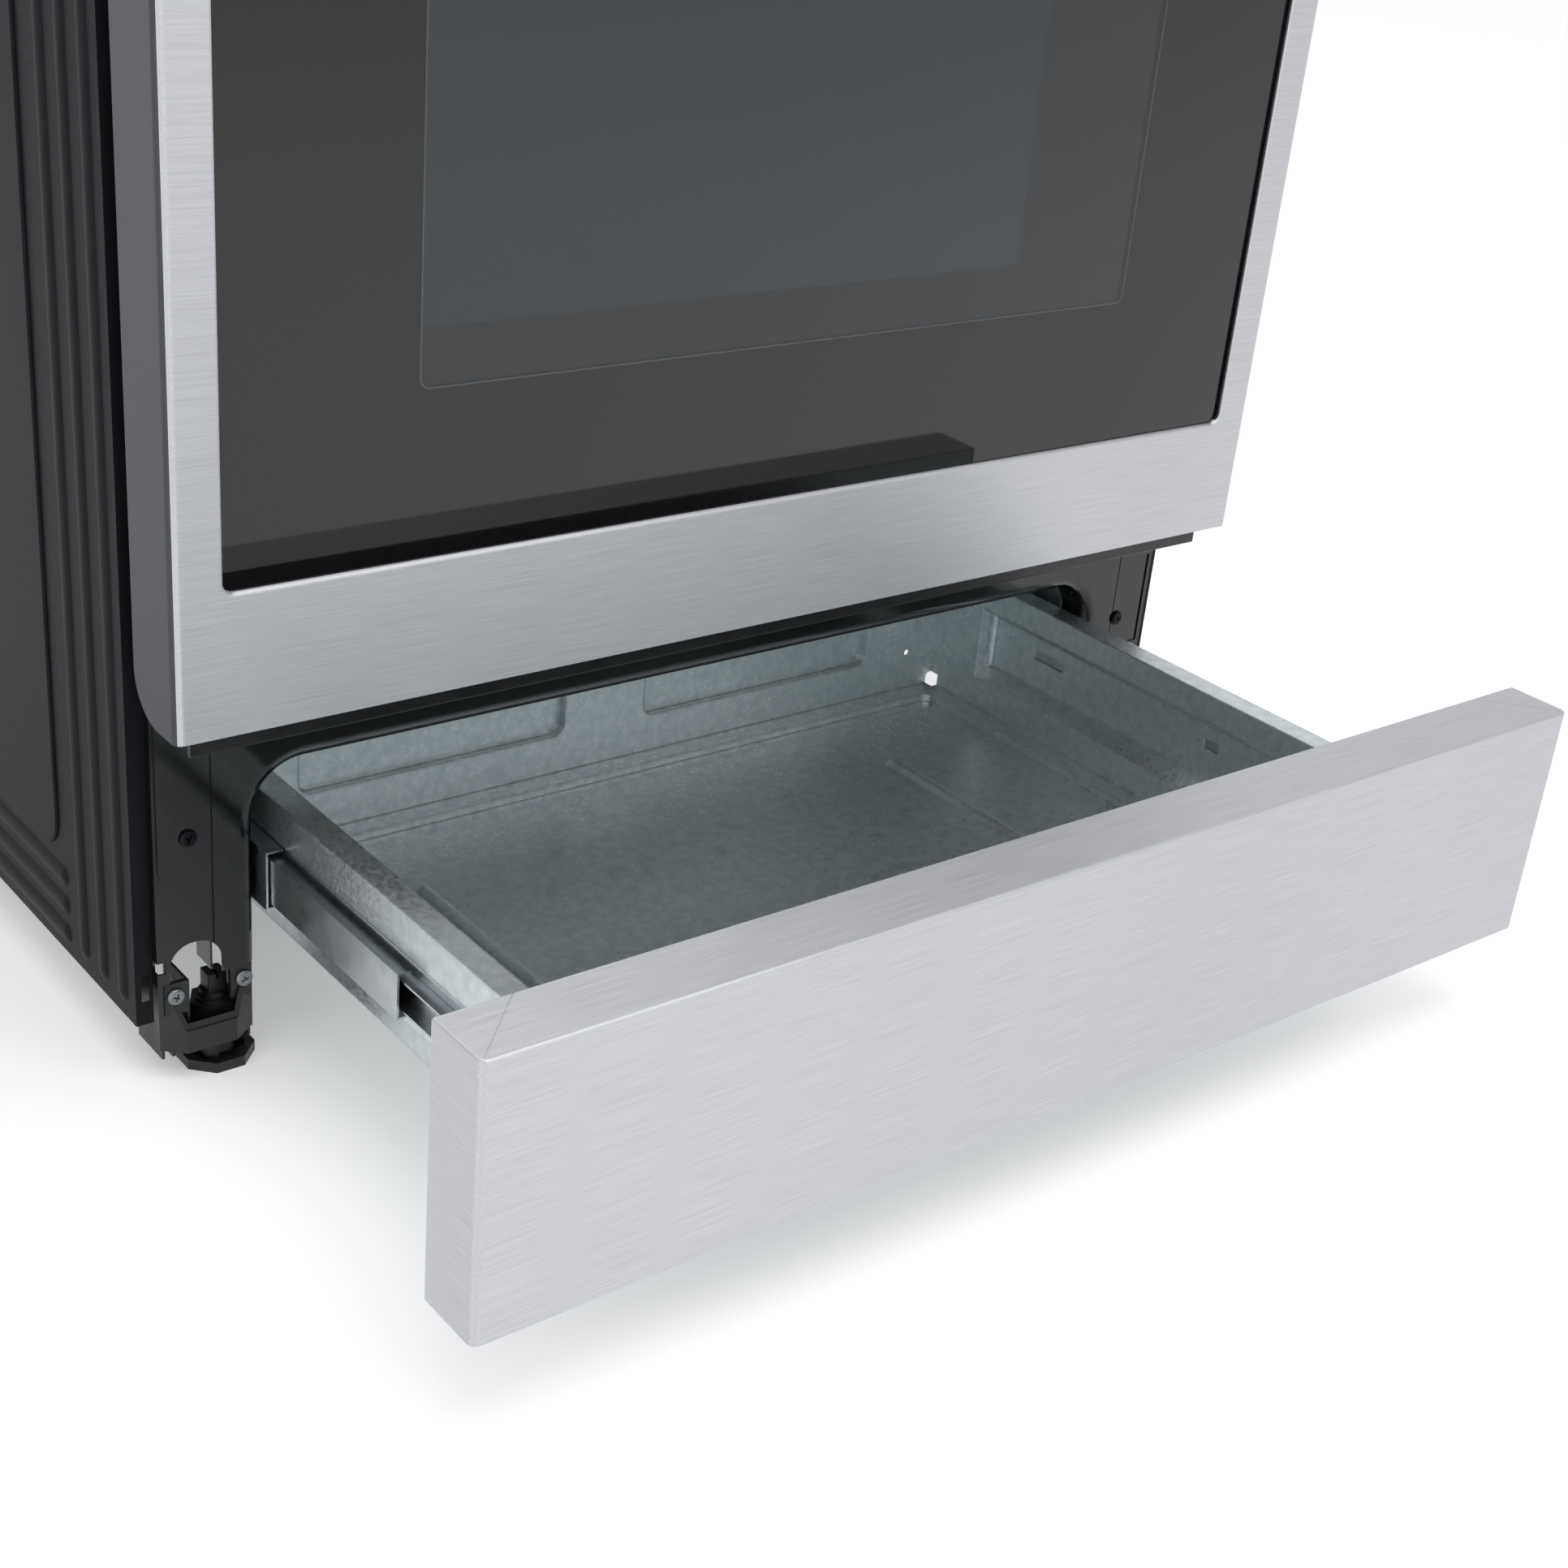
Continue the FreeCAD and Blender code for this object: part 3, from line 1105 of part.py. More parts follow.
def gas_pipes():
    """Manifold with a nipple to each valve, its supply from the regulator, and a tube to each burner."""
    ends, rear = (knob_xs[0] - 22, half_body - 27), body_depth - 44
    spine = rod(manifold_radius, (ends[0], manifold_y, manifold_z), (ends[1], manifold_y, manifold_z))
    nipples = []
    for x in knob_xs:
        nipple = on_fascia(Part.makeCylinder(5.0, 14, V(0, 0, -valve_reach - 14.1)), x, knob_height)
        nipples.append(nipple)
    supply = pipe([(gas_x, rear, 148.2), (gas_x, rear, manifold_z), (ends[1], rear, manifold_z),
                   (ends[1], manifold_y, manifold_z)], 6.0, 24.0)
    solids = [join([spine, supply] + nipples)]
    for (name, burner), x, level in zip(burners.items(), knob_xs, tube_levels):
        top = well_floor - 22.0
        start = (x, outlet_y, outlet_z)
        reach = abs(burner[0] - x) > 1
        points = [start, (x, outlet_y, level)] + ([(burner[0], outlet_y, level)] if reach else [])
        points += [(burner[0], burner[1], level), (burner[0], burner[1], top)]
        solids.append(pipe(points, 3.0, 5.0))
    return solids


def regulator():
    """Gas pressure regulator behind the rear opening, threaded for the supply hose."""
    y = body_depth - 28
    body = rod(26.0, (gas_x, y - 30, 122), (gas_x, y, 122))
    dome = rod(16.0, (gas_x, y - 38, 122), (gas_x, y - 29, 122))
    boss = rod(15.0, (gas_x, y - 1, 122), (gas_x, gas_mouth, 122))
    plate = block((gas_x - 16, gas_x + 16), (body_depth - 24, body_depth - 22), (130, 205))
    arm = block((gas_x - 16, gas_x + 16), (y - 6, body_depth - 22), (130, 134))
    outlet = rod(8.0, (gas_x, y - 16, 140), (gas_x, y - 16, 148))
    bore = rod(gas_thread, (gas_x, gas_mouth - gas_thread_depth, 122), (gas_x, gas_mouth + 5, 122))
    return join([body, dome, boss, plate, arm, outlet]).cut(bore)


# ---------------------------------------------------------------------------------------------------------
# Assembly
# ---------------------------------------------------------------------------------------------------------
def build():
    """Every node of the range, as lists of separate solids."""
    left_side = side_panel()
    parts["side_panel_left"] = [left_side]
    parts["side_panel_right"] = [mirrored(left_side)]
    parts["back_panel"] = [back_panel()]
    parts["rear_vent_trim"] = [rear_vent_trim()]
    parts["base_front_frame"] = [base_front_frame()]
    parts["base_chassis"] = base_chassis()
    parts["oven_front_frame"] = [oven_front_frame()]

    brackets = at_four_corners(leg_bracket())
    parts["leg_brackets"] = brackets
    for name, piece in zip(("front_left", "front_right", "rear_left", "rear_right"), at_four_corners(leg())):
        parts["leg_" + name] = [piece]
    screws = [screw_at(spot, (0, -1, 0)) for spot in tab_screws]
    screws += [screw_at(spot, (0, 1, 0)) for spot in back_screws]
    for spot in leg_screws:
        screws += at_four_corners(screw_at(spot, (0, -1, 0)))
    parts["body_screws"] = screws

    parts["oven_liner"] = [oven_liner()]
    parts["oven_floor"] = [oven_floor()]
    parts["insulation"] = insulation()
    parts["door_gasket"] = [door_gasket()]
    parts["oven_burners"] = [oven_burner((oven_pan + oven_floor_height) / 2, 150.0, 60.0, 10.0),
                             oven_burner(oven_top - 28, 120.0, 90.0, 9.0)]
    parts["oven_lamp"] = oven_lamp()
    for name, level in rack_in_use.items():
        parts[name] = [rack(rack_levels[level])]

    parts["door_skin"] = [door_skin()]
    parts["door_outer_glass"] = [door_outer_glass()]
    parts["door_inner_glass"] = [door_inner_glass()]
    parts["door_liner"] = [door_liner()]
    parts["door_bottom_trim"] = [door_bottom_trim()]
    parts["door_handle"] = door_handle()
    parts["door_screws"] = [screw_at(spot, (0, 1, 0)) for spot in door_screw_spots]
    parts["hinge_channels"] = [hinge_channel(side) for side in (-1, 1)]
    parts["hinge_arms"] = [piece(side) for piece in (hinge_arm, hinge_receiver) for side in (-1, 1)]

    parts["drawer_front"] = [drawer_front_skin()]
    parts["drawer_backer"] = [drawer_backer()]
    parts["drawer_box"] = [drawer_box()]
    parts["drawer_screws"] = [screw_at(spot, (0, 1, 0)) for spot in drawer_screw_spots]
    parts["slide_outer_members"] = [slide_outer(side) for side in (-1, 1)]
    parts["slide_middle_left"] = slide_middle(-1)
    parts["slide_middle_right"] = slide_middle(1)
    parts["slide_inner_members"] = [slide_inner(side) for side in (-1, 1)]

    parts["cooktop_panel"] = [cooktop_panel()]
    parts["burner_heads"] = [piece(burner) for piece in (burner_base, burner_head) for burner in burners.values()]
    parts["burner_caps"] = [burner_cap(burner) for burner in burners.values()]
    parts["spark_electrodes"] = [spark_electrode(burner) for burner in burners.values()]
    for name, (x, spans) in grates.items():
        parts[name] = [grate(x, spans)]

    parts["control_fascia"] = [control_fascia()]
    parts["display_glass"] = [display_glass()]
    parts["electrical_modules"] = electrical_modules()
    parts["gas_valves"] = [on_fascia(gas_valve(), x, knob_height) for x in knob_xs]
    parts["gas_supply"] = gas_pipes() + [regulator()]
    for number, x in enumerate(knob_xs, 1):
        parts[f"valve_stem_{number}"] = [on_fascia(valve_stem(), x, knob_height)]
        parts[f"knob_{number}"] = [on_fascia(knob(), x, knob_height)]


def export():
    """Write one STEP file per node, moved to the origin under the whole range."""
    os.makedirs("parts", exist_ok=True)
    for name, solids in parts.items():
        shape = solids[0].copy() if len(solids) == 1 else Part.makeCompound(solids)
        shape.translate(V(0, origin_shift, 0))
        shape.exportStep(f"parts/{name}.step")


build()
export()
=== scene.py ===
"""Freestanding gas range with its storage drawer pulled out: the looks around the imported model.

Every size below is in millimetres and turned to metres where a mesh is made.  The Y of a size is measured
from the face of the range's front frame, as in the maker's drawings, and FRONT_FACE moves it into place.
"""

import json
import logging
import math
from abc import ABC, abstractmethod
from dataclasses import dataclass, field
from enum import Enum
from typing import Any, Callable, Iterable, Mapping, Sequence

import bmesh
import bpy
from bpy.types import Material, Mesh, Node, NodeSocket, NodeTree, Object
from mathutils import Matrix, Vector

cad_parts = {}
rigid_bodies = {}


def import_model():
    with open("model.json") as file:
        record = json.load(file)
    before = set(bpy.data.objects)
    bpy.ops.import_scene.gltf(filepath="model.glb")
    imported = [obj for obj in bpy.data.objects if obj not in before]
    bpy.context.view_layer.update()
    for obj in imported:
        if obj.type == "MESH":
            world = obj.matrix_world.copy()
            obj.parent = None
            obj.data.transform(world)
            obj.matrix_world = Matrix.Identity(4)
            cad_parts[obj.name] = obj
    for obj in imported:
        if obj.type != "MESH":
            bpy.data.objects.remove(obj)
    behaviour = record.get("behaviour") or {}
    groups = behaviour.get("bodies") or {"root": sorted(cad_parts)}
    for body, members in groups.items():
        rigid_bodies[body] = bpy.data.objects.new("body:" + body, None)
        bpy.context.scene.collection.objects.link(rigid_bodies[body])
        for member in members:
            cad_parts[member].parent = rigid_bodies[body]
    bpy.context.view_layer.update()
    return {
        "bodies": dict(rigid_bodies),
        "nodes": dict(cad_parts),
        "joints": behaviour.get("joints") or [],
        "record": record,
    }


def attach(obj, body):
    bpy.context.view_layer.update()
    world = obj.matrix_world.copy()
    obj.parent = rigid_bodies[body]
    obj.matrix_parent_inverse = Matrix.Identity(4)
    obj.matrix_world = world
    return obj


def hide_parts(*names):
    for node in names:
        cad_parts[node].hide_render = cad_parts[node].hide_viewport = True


log = logging.getLogger("gas_range")
MM = 0.001
FRONT_FACE = -133.0    # the model's Y of the front frame's face
GLASS_IOR = 1.52       # soda-lime glass and fired enamel
USUAL = {"From Min": 0.3, "From Max": 0.7}  # the span that a noise texture mostly keeps to

BMesh = bmesh.types.BMesh
Point = tuple[float, float, float]
Span = tuple[float, float]
Colour = tuple[float, float, float, float]


# ---- Small tools ----
def linear(hex_colour: str) -> Colour:
    """Turns an sRGB colour into the linear one that shaders take.

    Args:
        hex_colour: The colour as #rrggbb.

    Returns:
        Linear red, green and blue, and an alpha of 1.
    """
    parts = [int(hex_colour[i:i + 2], 16) / 255 for i in (1, 3, 5)]
    r, g, b = (c / 12.92 if c <= 0.04045 else ((c + 0.055) / 1.055) ** 2.4 for c in parts)
    return (r, g, b, 1.0)


def at(x: float, y: float, z: float) -> Vector:
    """A point of the drawings, in metres, in the model's frame.

    Args:
        x: Millimetres to the right of the middle.
        y: Millimetres behind the front frame's face.
        z: Millimetres above the floor.

    Returns:
        The point in metres.
    """
    return Vector((x, y + FRONT_FACE, z)) * MM


def put(tree: NodeTree, kind: str, settings: Mapping[str, Any] | None = None,
        inputs: Mapping[str | int, Any] | None = None, into: NodeSocket | None = None) -> Node:
    """Adds one node with its settings, constants and links.

    Args:
        tree: The node tree that gets it.
        kind: Blender's name for the type of node.
        settings: The node's own properties.
        inputs: A constant or an output socket for each input, by the input's name or number.
        into: The input of another node that this one's first output goes to.

    Returns:
        The new node.
    """
    node = tree.nodes.new(kind)
    for key, value in (settings or {}).items():
        setattr(node, key, value)
    for key, value in (inputs or {}).items():
        if isinstance(value, NodeSocket):
            tree.links.new(value, node.inputs[key])
        else:
            node.inputs[key].default_value = value
    if into is not None:
        tree.links.new(node.outputs[0], into)
    return node


class Grain(Enum):
    """Which way a brushed face was drawn over the belt."""

    LEVEL = "level"
    TURNED = "turned"


# ---- Finishes ----
@dataclass(frozen=True)
class Noise:
    """The sizes of a noise texture."""

    size: float                # of a blot, in millimetres
    detail: float = 2.0        # how many finer layers it has
    spread: float = 0.5        # how strong those are

    def inputs(self, place: NodeSocket) -> dict[str, Any]:
        """What the texture's inputs get.

        Args:
            place: The point on the piece, in metres.

        Returns:
            A constant or a socket for each input.
        """
        return {"Vector": place, "Scale": 1 / (self.size * MM), "Detail": self.detail,
                "Roughness": self.spread}


@dataclass(frozen=True)
class Finish:
    """A surface finish: what it is made of, and the shader that shows it."""

    name: str
    colour: str
    roughness: float

    def material(self) -> Material:
        """Makes the material once.

        Returns:
            The material that carries this finish's name.
        """
        known = bpy.data.materials.get(self.name)
        if known is not None:
            return known
        material = bpy.data.materials.new(self.name)
        material.use_nodes = True
        tree = material.node_tree
        tree.nodes.clear()
        shader = put(tree, "ShaderNodeBsdfPrincipled", None,
                     {"Base Color": linear(self.colour), "Roughness": self.roughness})
        put(tree, "ShaderNodeOutputMaterial", None, {"Surface": shader.outputs[0]})
        material.diffuse_color = linear(self.colour)
        self.dress(tree, shader, put(tree, "ShaderNodeTexCoord").outputs["Object"])
        return material

    def dress(self, tree: NodeTree, shader: Node, place: NodeSocket) -> None:
        """Adds what makes the finish its own.

        Args:
            tree: The material's node tree.
            shader: Its Principled shader.
            place: The point on the piece, in metres.
        """
        raise NotImplementedError

    def mixed(self, tree: NodeTree, share: NodeSocket, low: str, high: str,
              edges: Mapping[str, float]) -> NodeSocket:
        """Two tones mixed by a noise.

        Args:
            tree: The material's node tree.
            share: The noise.
            low: The tone at its low edge, as #rrggbb.
            high: The tone at its high edge.
            edges: The two edges, by the names of a map range's inputs.

        Returns:
            The mixed tone.
        """
        part = put(tree, "ShaderNodeMapRange", None, {"Value": share, **edges}).outputs[0]
        return put(tree, "ShaderNodeMix", {"data_type": "RGBA"}, {
            0: part, 6: linear(low), 7: linear(high)}).outputs[2]


@dataclass(frozen=True)
class BrushedSteel(Finish):
    """304 stainless sheet drawn over an abrasive belt: level scratches that smear light up and down."""

    shade: str = "#bfc0c3"
    anisotropy: float = 0.9
    scratch: float = 55.0      # length of a scratch
    pitch: float = 0.5         # width of a scratch; a real one is a tenth of that and wouldn't show
    depth: float = 0.004
    steep: float = 0.7         # how far to the side a folded face looks
    cloud: Noise = Noise(160.0, 1.0)
    grain: Grain = Grain.LEVEL
    coated_side: str = ""      # tone of folded sides that carry a dark coat

    def dress(self, tree: NodeTree, shader: Node, place: NodeSocket) -> None:
        """Level scratches on fronts, tops and folded sides, or rings on a turned face."""
        shader.inputs["Metallic"].default_value = 1.0
        shader.inputs["Anisotropic"].default_value = self.anisotropy
        normal = put(tree, "ShaderNodeTexCoord").outputs["Normal"]
        fine, long = 1 / (self.pitch * MM), 1 / (self.scratch * MM)
        if self.grain is Grain.TURNED:
            where = put(tree, "ShaderNodeVectorMath", {"operation": "MULTIPLY"}, {
                0: place, 1: (fine, fine, fine)}).outputs[0]
            axis: Any = (0.0, 0.0, 1.0)
        else:
            side = put(tree, "ShaderNodeSeparateXYZ", None, {0: normal}).outputs[0]
            tilt = put(tree, "ShaderNodeMath", {"operation": "ABSOLUTE"}, {0: side}).outputs[0]
            folded = put(tree, "ShaderNodeMath", {"operation": "GREATER_THAN"}, {
                0: tilt, 1: self.steep}).outputs[0]
            level = put(tree, "ShaderNodeVectorMath", {"operation": "MULTIPLY"}, {
                0: place, 1: (long, fine, fine)}).outputs[0]
            turned = put(tree, "ShaderNodeVectorMath", {"operation": "MULTIPLY"}, {
                0: place, 1: (fine, long, fine)}).outputs[0]
            where = put(tree, "ShaderNodeMix", {"data_type": "VECTOR"}, {
                0: folded, 4: level, 5: turned}).outputs[1]
            axis = put(tree, "ShaderNodeMix", {"data_type": "VECTOR"}, {
                0: folded, 4: (1.0, 0.0, 0.0), 5: (0.0, 1.0, 0.0)}).outputs[1]
        across = put(tree, "ShaderNodeVectorMath", {"operation": "CROSS_PRODUCT"}, {
            0: normal, 1: axis}).outputs[0]
        put(tree, "ShaderNodeVectorTransform", {
            "vector_type": "VECTOR", "convert_from": "OBJECT", "convert_to": "WORLD"},
            {0: across}, shader.inputs["Tangent"])
        scratches = put(tree, "ShaderNodeTexNoise", None, {
            "Vector": where, "Scale": 1.0, "Detail": 3.0, "Roughness": 0.75}).outputs[0]
        tone = self.mixed(tree, scratches, self.shade, self.colour, {"From Min": 0.36, "From Max": 0.62})
        if self.coated_side:
            tone = put(tree, "ShaderNodeMix", {"data_type": "RGBA"}, {
                0: folded, 6: tone, 7: linear(self.coated_side)}).outputs[2]
        tree.links.new(tone, shader.inputs["Base Color"])
        dull = put(tree, "ShaderNodeMapRange", None, {
            "Value": scratches, **USUAL, "To Min": self.roughness, "To Max": self.roughness + 0.08}).outputs[0]
        cloud = put(tree, "ShaderNodeTexNoise", None, self.cloud.inputs(place)).outputs[0]
        put(tree, "ShaderNodeMath", {"operation": "MULTIPLY_ADD"}, {0: cloud, 1: 0.05, 2: dull},
            shader.inputs["Roughness"])
        put(tree, "ShaderNodeBump", None, {"Height": scratches, "Distance": self.depth * MM, "Strength": 0.25},
            shader.inputs["Normal"])


@dataclass(frozen=True)
class GalvanisedSheet(Finish):
    """Hot-dip galvanised steel, skin-passed with a leather grain: soft pebbles and bright rolled folds."""

    shade: str = "#bdc6c8"
    pebble: float = 2.4        # size of the embossed pebbles
    depth: float = 0.045
    fold: float = 2.2          # radius that the press leaves on folds
    spangle: float = 6.0       # size of a zinc crystal

    def dress(self, tree: NodeTree, shader: Node, place: NodeSocket) -> None:
        """Pebbled zinc with a faint spangle."""
        shader.inputs["Metallic"].default_value = 0.94
        pebbles = put(tree, "ShaderNodeTexNoise", None, Noise(self.pebble, 1.0, 0.35).inputs(place)).outputs[0]
        crystals = put(tree, "ShaderNodeTexVoronoi", {"feature": "SMOOTH_F1"}, {
            "Vector": place, "Scale": 1 / (self.spangle * MM), "Smoothness": 0.8}).outputs[0]
        tree.links.new(self.mixed(tree, crystals, self.colour, self.shade, {"From Min": 0.1, "From Max": 0.9}),
                       shader.inputs["Base Color"])
        put(tree, "ShaderNodeMapRange", None, {
            "Value": pebbles, **USUAL, "To Min": self.roughness, "To Max": self.roughness + 0.12},
            shader.inputs["Roughness"])
        folds = put(tree, "ShaderNodeBevel", {"samples": 4}, {"Radius": self.fold * MM}).outputs[0]
        put(tree, "ShaderNodeBump", None, {
            "Height": pebbles, "Distance": self.depth * MM, "Strength": 0.9, "Normal": folds},
            shader.inputs["Normal"])


@dataclass(frozen=True)
class SpeckledEnamel(Finish):
    """Pyrolytic oven enamel: dark blue glass with pale specks of about a millimetre."""

    speck: str = "#343b45"
    apart: float = 3.2         # how far apart the specks are
    peel: Noise = Noise(6.0, 1.0)
    depth: float = 0.05

    def dress(self, tree: NodeTree, shader: Node, place: NodeSocket) -> None:
        """Specks in the tone, and a shallow orange peel."""
        specks = put(tree, "ShaderNodeTexVoronoi", None, {
            "Vector": place, "Scale": 1 / (self.apart * MM)}).outputs[0]
        tree.links.new(self.mixed(tree, specks, self.speck, self.colour, {"From Min": 0.12, "From Max": 0.2}),
                       shader.inputs["Base Color"])
        peel = put(tree, "ShaderNodeTexNoise", None, self.peel.inputs(place)).outputs[0]
        put(tree, "ShaderNodeBump", None, {"Height": peel, "Distance": self.depth * MM, "Strength": 0.5},
            shader.inputs["Normal"])


@dataclass(frozen=True)
class FibreGlass(Finish):
    """Spun glass, felted into a blanket or braided into a rope: matt, with crossing threads."""

    shade: str = "#a8965a"
    thread: float = 2.2
    stretch: float = 9.0       # a thread's length over its width
    depth: float = 0.5

    def dress(self, tree: NodeTree, shader: Node, place: NodeSocket) -> None:
        """Threads that cross both ways."""
        shader.inputs["Sheen Weight"].default_value = 0.4
        shader.inputs["Sheen Roughness"].default_value = 0.5
        fine, long = 1 / (self.thread * MM), 1 / (self.thread * self.stretch * MM)
        layers = []
        for stretch in ((long, fine, fine), (fine, fine, long)):
            where = put(tree, "ShaderNodeVectorMath", {"operation": "MULTIPLY"}, {
                0: place, 1: stretch}).outputs[0]
            layers.append(put(tree, "ShaderNodeTexNoise", None, {
                "Vector": where, "Scale": 1.0, "Detail": 3.0, "Roughness": 0.6}).outputs[0])
        threads = put(tree, "ShaderNodeMath", {"operation": "MAXIMUM"}, dict(enumerate(layers))).outputs[0]
        tree.links.new(self.mixed(tree, threads, self.shade, self.colour, {"From Min": 0.4, "From Max": 0.7}),
                       shader.inputs["Base Color"])
        put(tree, "ShaderNodeBump", None, {"Height": threads, "Distance": self.depth * MM, "Strength": 0.9},
            shader.inputs["Normal"])


@dataclass(frozen=True)
class PrintedGlass(Finish):
    """Float glass with a black ceramic print fired on its border; the clear middle is tinted."""

    clear: str = "#7d868c"
    half: float = 245.0        # the clear middle's half width
    low: float = 391.0
    high: float = 622.0
    corner: float = 6.0

    def dress(self, tree: NodeTree, shader: Node, place: NodeSocket) -> None:
        """Opaque print outside a rounded rectangle, tinted glass inside it."""
        shader.inputs["IOR"].default_value = GLASS_IOR
        spot = put(tree, "ShaderNodeVectorMath", {"operation": "SUBTRACT"}, {
            0: place, 1: (0.0, 0.0, (self.low + self.high) / 2 * MM)}).outputs[0]
        away = put(tree, "ShaderNodeVectorMath", {"operation": "ABSOLUTE"}, {0: spot}).outputs[0]
        limit = ((self.half - self.corner) * MM, 10.0, ((self.high - self.low) / 2 - self.corner) * MM)
        past = put(tree, "ShaderNodeVectorMath", {"operation": "SUBTRACT"}, {0: away, 1: limit}).outputs[0]
        beyond = put(tree, "ShaderNodeVectorMath", {"operation": "MAXIMUM"}, {
            0: past, 1: (0.0, 0.0, 0.0)}).outputs[0]
        reach = put(tree, "ShaderNodeVectorMath", {"operation": "LENGTH"}, {0: beyond}).outputs[1]
        clear = put(tree, "ShaderNodeMapRange", None, {
            "Value": reach, "From Min": (self.corner - 1) * MM, "From Max": self.corner * MM,
            "To Min": 1.0, "To Max": 0.0}, shader.inputs["Transmission Weight"]).outputs[0]
        tone = put(tree, "ShaderNodeMix", {"data_type": "RGBA"}, {
            0: clear, 6: linear(self.colour), 7: linear(self.clear)})
        tree.links.new(tone.outputs[2], shader.inputs["Base Color"])


@dataclass(frozen=True)
class Coat(Finish):
    """An even coat, moulding or casting: gloss that drifts with one noise, and a relief from another."""

    constants: tuple[tuple[str, Any], ...] = ()   # shader inputs with values of their own
    drift: Noise | None = None
    dull: Span = (0.0, 0.1)        # added to the roughness at the drift's low and high end
    shade: str = ""                               # the tone at its low end, where the tone drifts too
    grit: Noise = Noise(0.8)
    depth: float = 0.02
    strength: float = 0.6

    def dress(self, tree: NodeTree, shader: Node, place: NodeSocket) -> None:
        """Drift in gloss and tone, and the relief."""
        for label, value in self.constants:
            shader.inputs[label].default_value = value
        if self.drift is not None:
            drift = put(tree, "ShaderNodeTexNoise", None, self.drift.inputs(place)).outputs[0]
            put(tree, "ShaderNodeMapRange", None, {
                "Value": drift, **USUAL, "To Min": self.roughness + self.dull[0],
                "To Max": self.roughness + self.dull[1]}, shader.inputs["Roughness"])
            if self.shade:
                tree.links.new(self.mixed(tree, drift, self.shade, self.colour, USUAL),
                               shader.inputs["Base Color"])
        grit = put(tree, "ShaderNodeTexNoise", None, self.grit.inputs(place)).outputs[0]
        put(tree, "ShaderNodeBump", None, {
            "Height": grit, "Distance": self.depth * MM, "Strength": self.strength}, shader.inputs["Normal"])


@dataclass(frozen=True)
class GlossEnamel(Coat):
    """Black enamel fired on steel, or glass printed black behind: glassy, with a shallow orange peel."""

    constants: tuple[tuple[str, Any], ...] = (("IOR", GLASS_IOR),)
    drift: Noise | None = Noise(1.2)
    dull: Span = (0.0, 0.06)
    grit: Noise = Noise(5.0, 1.0, 0.4)
    depth: float = 0.05


@dataclass(frozen=True)
class Plated(Coat):
    """Bare or plated metal: zinc, chrome, aluminium, or tube as drawn, with faint blots of tone."""

    constants: tuple[tuple[str, Any], ...] = (("Metallic", 1.0),)
    drift: Noise | None = Noise(6.0)
    dull: Span = (0.1, 0.0)
    shade: str = "#8a8d8f"
    grit: Noise = Noise(0.9)
    depth: float = 0.01


@dataclass(frozen=True)
class Moulded(Coat):
    """Injection-moulded polyamide: spark-eroded grain, and flow marks in its soft gloss."""

    drift: Noise | None = Noise(11.0, 1.0)
    dull: Span = (0.0, 0.12)
    depth: float = 0.03


# Brushed fronts: pale, with level streaks; the door's folded sides look almost black.
STEEL = BrushedSteel("brushed_304_stainless_sheet", "#d2d3d6", 0.40)
DOOR_STEEL = BrushedSteel("brushed_304_door_skin_dark_sides", "#d2d3d6", 0.40, coated_side="#55565a")
# Knobs: tighter rings, and a brighter glint that turns with them.
KNOB_STEEL = BrushedSteel("turned_stainless_knob", "#c4c5c7", 0.24, anisotropy=0.5, pitch=0.6,
                          grain=Grain.TURNED)
# Drawer box: bluish grey leather grain.  Backer, back and chassis: a flatter, duller grey.
GALVANISED = GalvanisedSheet("leather_grain_galvanised_sheet", "#d3d9da", 0.27)
PLAIN_ZINC = GalvanisedSheet("plain_galvanised_sheet", "#a9b0b2", 0.34, pebble=5.0, depth=0.03)
# Enamels: wet black frames and cooktop, satin burner caps, and an oven of speckled midnight blue.
ENAMEL = GlossEnamel("black_vitreous_enamel", "#0c0d0e", 0.09)
COOKTOP_ENAMEL = GlossEnamel("cooktop_black_porcelain_enamel", "#0b0b0d", 0.06, grit=Noise(7.0, 1.0, 0.4),
                             depth=0.03)
CAP_ENAMEL = GlossEnamel("satin_black_cap_enamel", "#0c0c0d", 0.24, grit=Noise(3.0, 1.0, 0.4))
OVEN_ENAMEL = SpeckledEnamel("speckled_blue_oven_enamel", "#171b22", 0.2)
# Side panels: a matt, nearly unreflecting black with a wrinkle coarser than the real half millimetre.
SIDE_COAT = Coat("black_textured_powder_coat", "#151619", 0.4, (("Specular IOR Level", 0.08),), Noise(1.1),
                 (0.1, 0.0), grit=Noise(1.1), depth=0.05, strength=0.7)
# Slides, hinges and screws: bluish and blotchy.  Racks and balls: mirror-bright.  Screws in black: oily.
ZINC = Plated("bright_zinc_plated_steel", "#c0c5c8", 0.24, shade="#adb3b6", drift=Noise(16.0))
CHROME = Plated("chromed_steel_wire", "#dcdddf", 0.08, shade="#c9cbcd", depth=0.004)
SCREW_ZINC = Plated("zinc_flake_coated_screw", "#8b8f92", 0.32, shade="#777b7e")
SCREW_BLACK = Plated("black_oxide_steel", "#26282b", 0.3, shade="#17181a")
# Burner heads and stems: grainy grey castings.  Tubes: streaky grey.  Valves: warm yellow.
ALUMINIUM = Plated("pressure_cast_aluminium", "#b4b6b7", 0.42, shade="#9a9c9d", grit=Noise(1.2), depth=0.06)
TUBE = Plated("aluminised_steel_tube", "#9b9d9c", 0.38, shade="#7d7f7f", drift=Noise(14.0))
BRASS = Plated("turned_brass", "#b99a55", 0.3, shade="#9c7f42")
